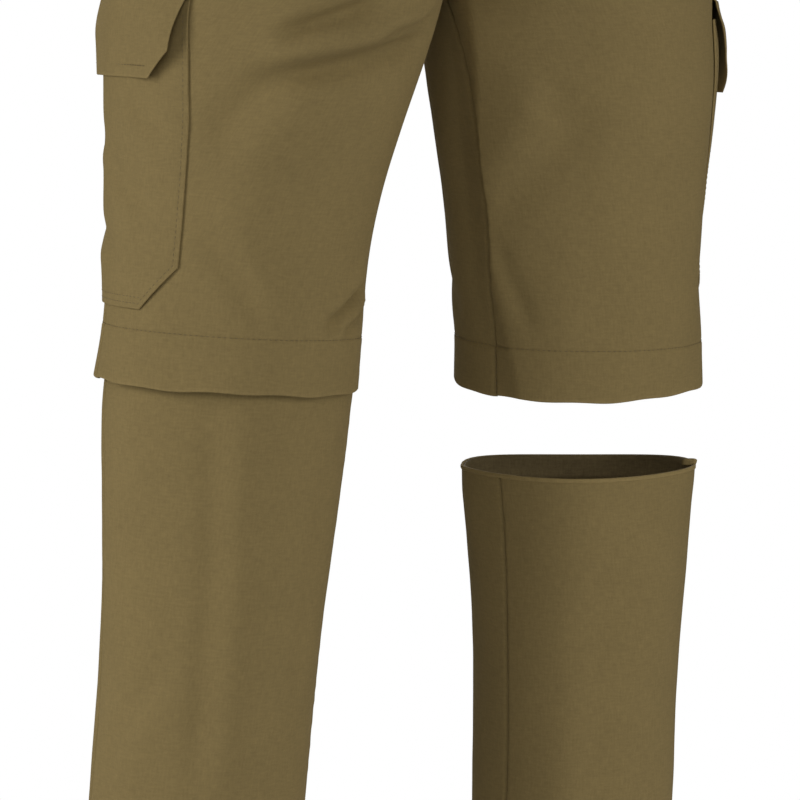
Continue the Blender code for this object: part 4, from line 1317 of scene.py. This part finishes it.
def pocket_seams(leg):
    """A pocket's row of stitches along its edge and the one over its turned-up bottom."""
    bottom, top = pocket_span(leg)
    height = lambda x, z: pocket_lift(leg, x, z) + FOLDED_WALL - 0.00008
    corners = inset_outline(
        POCKET_HALF_WIDTH, POCKET_HALF_WIDTH, POCKET_CHAMFER, POCKET_CHAMFER, bottom, top - 0.008,
        POCKET_SEWN,
    )
    reach = POCKET_HALF_WIDTH - POCKET_CHAMFER + 0.001
    level = bottom + POCKET_TURNED
    turned = [(-reach, level), (reach, level)]
    return [patch_path(leg, corners, height), patch_path(leg, turned, height)]


def flap_seams(leg):
    """The row of stitches over a flap's turned-up bottom, the one that sews it on, and the dense
    short rows that hold its two upper corners."""
    pocket_bottom, _ = pocket_span(leg)
    bottom = pocket_bottom + FLAP_ABOVE_POCKET_BOTTOM[leg]
    top = bottom + FLAP_HEIGHT
    height = lambda x, z: flap_lift(leg, x, z) + FOLDED_WALL - 0.00008
    reach = FLAP_HALF_WIDTH - FLAP_TAPER - FLAP_CHAMFER_X - 0.002
    turned = [(-reach, bottom + FLAP_TURNED), (reach, bottom + FLAP_TURNED)]
    sewn_on = [(-FLAP_HALF_WIDTH + 0.003, top - 0.0025), (FLAP_HALF_WIDTH - 0.003, top - 0.0025)]
    rows = [turned, sewn_on]
    for side in (-1.0, 1.0):
        for inset in (0.0012, 0.0022, 0.0032):
            x = side * (FLAP_HALF_WIDTH - inset)
            rows.append([(x, top - 0.002), (x - 0.0025 * side, top - 0.013)])
    return [patch_path(leg, row, height) for row in rows]


def seam_path(leg, part, u_seam, side, top, bottom, inset=0.0018):
    """A row of stitches beside a seam."""
    z = np.linspace(top, bottom, 900)
    rate = metres_per_u(leg, part, np.full_like(z, u_seam), z)
    return cloth(leg, part, u_seam + side * inset / rate, z, -0.00005)


def fly_path(inset):
    """The fly's curved row on the left front: straight down, then a quarter ellipse to the seam."""
    straight = np.linspace(-BAND_HALF_HEIGHT - 0.002, FLY_STITCH_BOTTOM + 0.035, 300)
    turn = np.linspace(0.0, 0.5 * math.pi, 200)
    width = FLY_WIDTH - inset
    aside = np.concatenate([np.full(300, width), width * np.cos(turn) + 0.002 * np.sin(turn)])
    z = np.concatenate([straight, FLY_STITCH_BOTTOM + 0.035 - (0.035 - inset) * np.sin(turn)])
    rate = metres_per_u("left", "upper", np.full_like(z, 0.08), z)
    return cloth("left", "upper", aside / rate, z, 0.00005)


def band_paths():
    """The waistband's two long rows of stitches and the short one at its upper end."""
    start = -2.0 * math.pi + waist_angle(BAND_OVER_END + 0.0025)
    end = waist_angle(BAND_UNDER_END - 0.0025)
    around = np.linspace(start, end, 2400)
    rows = []
    for z in (BAND_HALF_HEIGHT - 0.0025, 0.0025 - BAND_HALF_HEIGHT):
        level = np.full_like(around, z)
        visible = around < waist_angle(BAND_OVER_END - 0.004)
        rows.append(waist(around[visible], level[visible], band_raise(around[visible]) + BAND_OUT))
    z = np.linspace(0.0025 - BAND_HALF_HEIGHT, BAND_HALF_HEIGHT - 0.0025, 120)
    rows.append(waist(np.full_like(z, start), z, BAND_OVER + BAND_OUT))
    return rows


def button_threads():
    """Two crossed bars of thread in the button's dish."""
    seat, normal, side, up = button_frame()
    face = seat + normal * (0.72 * BUTTON_THICKNESS)
    rows = []
    for slant in (1.0, -1.0):
        direction = (side + slant * up) / math.sqrt(2.0)
        for shift in (-0.0003, 0.0003):
            middle = face + shift * (side - slant * up) / math.sqrt(2.0)
            share = np.linspace(-0.0019, 0.0019, 12)[:, None]
            rows.append((middle + share * direction, np.repeat(normal[None], 12, 0)))
    return rows


def zip_end(name):
    """The folded end of the binding at the mouth's outer corner: a small doubled tab. It is a
    flattened ball, x^4 + y^2 + z^4 = 1, leaned over and notched on its fold."""
    top = LEVELS["left"]["rim"]
    u = np.linspace(0.6, 1.0, 161)
    edge, _ = cloth("left", "lower", u, np.full_like(u, top), 0.0, 0.0)
    turn = math.radians(MOUTH_TURN)
    along = np.array([math.cos(turn), -math.sin(turn), 0.0])
    out = np.array([-math.sin(turn), -math.cos(turn), 0.0])
    up = np.array([0.0, 0.0, 1.0])
    place = edge[np.argmax(edge @ along)] - 0.0036 * along
    turn, rise = np.meshgrid(np.linspace(0, 2 * math.pi, 33)[:-1], np.linspace(-0.5, 0.5, 17) * math.pi)
    power = lambda v, n: np.sign(v) * np.abs(v) ** n
    x = power(np.cos(rise), 0.6) * power(np.cos(turn), 0.6)
    y = power(np.cos(rise), 0.6) * np.sin(turn)
    w = power(np.sin(rise), 0.6)
    crease = 1.0 - 0.30 * bump(w - 0.35 * x - 0.1, 0.16) * (np.abs(y) > 0.2)
    x, y, w = x * 0.0050, y * 0.0022 * crease, w * 0.0024
    x = x + 0.25 * w
    points = place + up * 0.0006 + x[..., None] * along + y[..., None] * out + w[..., None] * up
    rows, columns = points.shape[:2]
    row, col = np.meshgrid(np.arange(rows - 1), np.arange(columns), indexing="ij")
    a, b = (row * columns + col).ravel(), (row * columns + (col + 1) % columns).ravel()
    c, d = b + columns, a + columns
    faces = np.stack([a, b, c, d], 1)
    flat = np.stack([x.ravel(), w.ravel(), y.ravel()], 1)
    attributes = {"weave": flat, "rub": np.full(x.size, 0.4)}
    piece = add_piece(name, points, faces, canvas(), attributes)
    close_poles(piece)
    return piece


def close_poles(piece):
    """Merges the points that meet at a ball's two poles and turns its faces outwards."""
    import bmesh

    work = bmesh.new()
    work.from_mesh(piece.data)
    bmesh.ops.remove_doubles(work, verts=work.verts, dist=1e-6)
    bmesh.ops.recalc_face_normals(work, faces=work.faces)
    work.to_mesh(piece.data)
    work.free()
    piece.data.shade_smooth()


class TrousersCloth(bpy.types.PropertyGroup):
    """Colours of the cloth, the zips and the button, and the cloth's thread pitch."""

    colour: FloatVectorProperty(
        name="Cloth colour", description="Mean colour of the canvas", subtype="COLOR",
        default=(0.2126, 0.1553, 0.0614), min=0.0, max=1.0,
    )
    tape_colour: FloatVectorProperty(
        name="Tape colour", description="Colour of the zip tapes", subtype="COLOR",
        default=(0.160, 0.119, 0.055), min=0.0, max=1.0,
    )
    button_colour: FloatVectorProperty(
        name="Button colour", description="Colour of the waist button", subtype="COLOR",
        default=(0.060, 0.042, 0.024), min=0.0, max=1.0,
    )
    pitch: FloatProperty(
        name="Thread pitch", description="Distance between two threads of the canvas",
        default=0.0008, min=0.0002, max=0.005, unit="LENGTH",
    )


class TrousersStitching(bpy.types.PropertyGroup):
    """Size and colour of the stitches."""

    colour: FloatVectorProperty(
        name="Thread colour", description="Colour of the sewing thread", subtype="COLOR",
        default=(0.160, 0.117, 0.050), min=0.0, max=1.0,
    )
    length: FloatProperty(
        name="Stitch length", description="Length of one visible stitch",
        default=0.0021, min=0.0005, max=0.01, unit="LENGTH",
    )
    gap: FloatProperty(
        name="Stitch gap", description="Space between two stitches",
        default=0.0014, min=0.0001, max=0.01, unit="LENGTH",
    )
    width: FloatProperty(
        name="Thread width", description="Thickness of the sewing thread",
        default=0.00050, min=0.0001, max=0.003, unit="LENGTH",
    )


class TrousersStage(bpy.types.PropertyGroup):
    """Floor and lights."""

    floor_colour: FloatVectorProperty(
        name="Floor colour", description="Colour of the studio floor", subtype="COLOR",
        default=(0.88, 0.88, 0.87), min=0.0, max=1.0,
    )
    left_power: FloatProperty(
        name="Left box power", description="Power of the softbox on the camera's left",
        default=27.5, min=0.0, unit="POWER",
    )
    right_power: FloatProperty(
        name="Right box power", description="Power of the softbox on the camera's right",
        default=20.0, min=0.0, unit="POWER",
    )
    front_power: FloatProperty(
        name="Front box power", description="Power of the fill above the camera",
        default=22.0, min=0.0, unit="POWER",
    )
    top_power: FloatProperty(
        name="Top box power", description="Power of the softbox above the trousers",
        default=4.0, min=0.0, unit="POWER",
    )
    back_power: FloatProperty(
        name="Back box power", description="Power of the softbox behind the trousers",
        default=26.0, min=0.0, unit="POWER",
    )


class TROUSERS_OT_upper_panels(bpy.types.Operator):
    """Build the four upper panels, from the waistband to the short legs' hems"""

    bl_idname = "trousers.upper_panels"
    bl_label = "Upper panels"

    def execute(self, context):
        for leg in SIDES:
            upper_panel(f"canvas_front_{leg}", leg, 0.0, 1.0, f"front_{leg}")
            upper_panel(f"canvas_back_{leg}", leg, 1.0, 2.0, f"back_{leg}")
        return {"FINISHED"}


class TROUSERS_OT_lower_legs(bpy.types.Operator):
    """Build the panels of both lower legs"""

    bl_idname = "trousers.lower_legs"
    bl_label = "Lower legs"

    def execute(self, context):
        for leg in SIDES:
            lower_panel(f"canvas_lower_front_{leg}", leg, 0.0, 1.0, f"lower_front_{leg}")
            lower_panel(f"canvas_lower_back_{leg}", leg, 1.0, 2.0, f"lower_back_{leg}")
        return {"FINISHED"}


class TROUSERS_OT_cargo_pockets(bpy.types.Operator):
    """Build both cargo pockets and their flaps"""

    bl_idname = "trousers.cargo_pockets"
    bl_label = "Cargo pockets"

    def execute(self, context):
        for leg in SIDES:
            cargo_pocket(f"patch_pocket_{leg}", leg, f"cargo_pocket_{leg}")
            cargo_flap(f"pocket_flap_{leg}", leg, f"cargo_flap_{leg}")
        return {"FINISHED"}


class TROUSERS_OT_waist(bpy.types.Operator):
    """Build the waistband, its button and the strip behind the fly"""

    bl_idname = "trousers.waist"
    bl_label = "Waist and fly"

    def execute(self, context):
        waistband_strip()
        waist_button()
        fly_strip()
        return {"FINISHED"}


class TROUSERS_OT_zips(bpy.types.Operator):
    """Build the zip tapes, rolled rims and teeth of both legs"""

    bl_idname = "trousers.zips"
    bl_label = "Leg zips"

    def execute(self, context):
        for leg, levels in LEVELS.items():
            tape_top = levels["stitch"] - TAPE_TOP_DROP
            low = levels["rim"] - RIM_HEIGHT - SEAM_GAP
            tape(f"tape_upper_{leg}", leg, "upper", tape_top, levels["zip"], f"zip_tape_upper_{leg}")
            top = levels["rim"] - 0.0008
            tape(f"tape_lower_{leg}", leg, "lower", top, low - LOWER_TAPE_HEIGHT, f"zip_tape_lower_{leg}")
            rim(f"rolled_rim_{leg}", leg, f"zip_rim_{leg}")
            teeth(f"teeth_lower_{leg}", leg, "lower", levels["rim"] - 0.0022, -RIM_IN - 0.0003, 1.0)
        teeth("teeth_upper_left", "left", "upper", LEVELS["left"]["zip"], -TAPE_INNER - 0.0008, -1.0)
        zip_end("zip_end_left")
        return {"FINISHED"}


class TROUSERS_OT_stitching(bpy.types.Operator):
    """Sew the hems, pockets, flaps, seams, waistband, fly and button"""

    bl_idname = "trousers.stitching"
    bl_label = "Stitching"

    def execute(self, context):
        for leg, levels in LEVELS.items():
            hem = [level_path(leg, "upper", levels["stitch"], -0.00005)]
            sew(f"hem_stitches_{leg}", hem)
            ankle = [level_path(leg, "lower", levels["ankle"] + ANKLE_HEM, -0.00005)]
            sew(f"ankle_stitches_{leg}", ankle)
            sew(f"pocket_stitches_{leg}", pocket_seams(leg))
            sew(f"flap_stitches_{leg}", flap_seams(leg))
            top = -BAND_HALF_HEIGHT - 0.003
            seams = [
                seam_path(leg, "upper", 2.0, -1.0, top, CROTCH_Z + 0.004),
                seam_path(leg, "upper", 0.0, 1.0, levels["stitch"] - 0.001, levels["hem"] + 0.003, 0.0009),
            ]
            sew(f"seam_stitches_{leg}", seams)
        sew("fly_stitches", [fly_path(0.0), fly_path(0.006)])
        sew("waistband_stitches", band_paths())
        sew("button_thread", button_threads())
        return {"FINISHED"}


def softbox(name, position, target, size, power):
    """An area light that faces a target."""
    light = bpy.data.lights.new(name, "AREA")
    light.shape = "RECTANGLE"
    light.size, light.size_y = size
    light.energy = power
    box = bpy.data.objects.new(name, light)
    bpy.context.scene.collection.objects.link(box)
    box.location = position
    box.rotation_euler = (Vector(target) - Vector(position)).to_track_quat("-Z", "Y").to_euler()
    return box


def camera_axes():
    """The camera's level directions: to its right, and forwards."""
    turn = math.radians(CAMERA_TURN)
    right = np.array([math.cos(turn), math.sin(turn), 0.0])
    return right, np.array([-math.sin(turn), math.cos(turn), 0.0])


def add_camera():
    right, forward = camera_axes()
    data = bpy.data.cameras.new("photo_camera")
    data.lens = CAMERA_LENS
    data.sensor_width = SENSOR
    camera = bpy.data.objects.new("photo_camera", data)
    bpy.context.scene.collection.objects.link(camera)
    place = CAMERA_ASIDE * right - CAMERA_DISTANCE * forward + np.array([0.0, 0.0, CAMERA_Z])
    camera.location = place
    camera.rotation_euler = (
        math.radians(90.0 - CAMERA_TILT), 0.0, math.radians(CAMERA_TURN)
    )
    bpy.context.scene.camera = camera


def add_floor(colour):
    """A round floor, a little below the trousers, with a rounded edge."""
    radii = np.array([0.0, 0.6, 1.0, 1.0, 0.99]) * FLOOR_RADIUS
    radii[2] -= 0.004
    heights = np.array([0.0, 0.0, 0.0, -0.004, -0.02]) + FLOOR_Z
    turns = np.arange(96) * 2.0 * math.pi / 96
    circle = np.stack([np.cos(turns), np.sin(turns), 0.0 * turns], 1)
    rings = circle[None] * radii[1:, None, None] + heights[1:, None, None] * np.array([0.0, 0.0, 1.0])
    points = np.concatenate([[[0.0, 0.0, FLOOR_Z]], rings.reshape(-1, 3)])
    j = np.arange(96)
    k = (j + 1) % 96
    faces = [list(f) for f in np.stack([0 * j, 1 + j, 1 + k], 1)]
    for ring in range(len(radii) - 2):
        a = 1 + ring * 96
        b = a + 96
        faces += [list(f) for f in np.stack([a + j, b + j, b + k, a + k], 1)]
    mesh = bpy.data.meshes.new("studio_floor")
    mesh.from_pydata(points.tolist(), [], faces)
    mesh.update()
    mesh.shade_smooth()
    mesh.materials.append(studio_finish("studio_paper", colour))
    floor = bpy.data.objects.new("studio_floor", mesh)
    bpy.context.scene.collection.objects.link(floor)


def add_backdrop():
    """A white surround for the camera that gives the cloth only a low, even light."""
    world = bpy.data.worlds.new("studio")
    bpy.context.scene.world = world
    world.use_nodes = True
    nodes, links = world.node_tree.nodes, world.node_tree.links
    white = nodes["Background"]
    white.inputs["Color"].default_value = (1.0, 1.0, 1.0, 1.0)
    white.inputs["Strength"].default_value = 1.0
    low = nodes.new("ShaderNodeBackground")
    low.inputs["Color"].default_value = (1.0, 0.99, 0.97, 1.0)
    low.inputs["Strength"].default_value = 0.015
    path = nodes.new("ShaderNodeLightPath")
    blend = nodes.new("ShaderNodeMixShader")
    links.new(path.outputs["Is Camera Ray"], blend.inputs[0])
    links.new(low.outputs[0], blend.inputs[1])
    links.new(white.outputs[0], blend.inputs[2])
    links.new(blend.outputs[0], nodes["World Output"].inputs["Surface"])


class TROUSERS_OT_stage(bpy.types.Operator):
    """Add the camera, floor, backdrop and softboxes"""

    bl_idname = "trousers.stage"
    bl_label = "Stage"

    def execute(self, context):
        settings = context.scene.trousers_stage
        right, forward = camera_axes()
        add_camera()
        add_floor(tuple(settings.floor_colour))
        add_backdrop()
        middle = (0.0, 0.0, -0.52)
        level = np.array([0.0, 0.0, -0.25])
        left_place = -1.9 * right - 0.8 * forward + np.array([0.0, 0.0, -0.1])
        softbox("left_box", tuple(left_place), middle, (0.7, 1.8), settings.left_power)
        right_place = 1.8 * right - 1.0 * forward + level
        softbox("right_box", tuple(right_place), middle, (1.1, 1.8), settings.right_power)
        front_place = -2.6 * forward + np.array([0.0, 0.0, 0.6])
        softbox("front_box", tuple(front_place), middle, (1.6, 1.0), settings.front_power)
        top_place = -0.9 * forward + np.array([0.0, 0.0, 1.7])
        softbox("top_box", tuple(top_place), middle, (2.2, 2.2), settings.top_power)
        back_place = 2.6 * forward + np.array([0.0, 0.0, 0.4])
        softbox("back_box", tuple(back_place), middle, (2.4, 1.6), settings.back_power)
        context.scene.view_settings.view_transform = "Standard"
        return {"FINISHED"}


class TROUSERS_PT_sidebar(bpy.types.Panel):
    """Lists the trousers' pieces and settings"""

    bl_label = "Trousers"
    bl_idname = "TROUSERS_PT_sidebar"
    bl_space_type = "VIEW_3D"
    bl_region_type = "UI"
    bl_category = "Trousers"

    def draw(self, context):
        layout = self.layout
        for group in (context.scene.trousers_cloth, context.scene.trousers_stitching, context.scene.trousers_stage):
            box = layout.box()
            for key in group.__annotations__:
                box.prop(group, key)
        for operator in OPERATORS:
            layout.operator(operator.bl_idname)


GROUPS = {
    "trousers_cloth": TrousersCloth,
    "trousers_stitching": TrousersStitching,
    "trousers_stage": TrousersStage,
}
OPERATORS = (
    TROUSERS_OT_stage,
    TROUSERS_OT_upper_panels,
    TROUSERS_OT_lower_legs,
    TROUSERS_OT_cargo_pockets,
    TROUSERS_OT_waist,
    TROUSERS_OT_zips,
    TROUSERS_OT_stitching,
)


def register():
    for name, group in GROUPS.items():
        bpy.utils.register_class(group)
        setattr(bpy.types.Scene, name, PointerProperty(type=group))
    for cls in (*OPERATORS, TROUSERS_PT_sidebar):
        bpy.utils.register_class(cls)


def unregister():
    for cls in reversed((*OPERATORS, TROUSERS_PT_sidebar)):
        bpy.utils.unregister_class(cls)
    for name, group in GROUPS.items():
        delattr(bpy.types.Scene, name)
        bpy.utils.unregister_class(group)


def main():
    register()
    for operator in OPERATORS:
        group, name = operator.bl_idname.split(".")
        getattr(getattr(bpy.ops, group), name)()


if __name__ == "__main__":
    main()
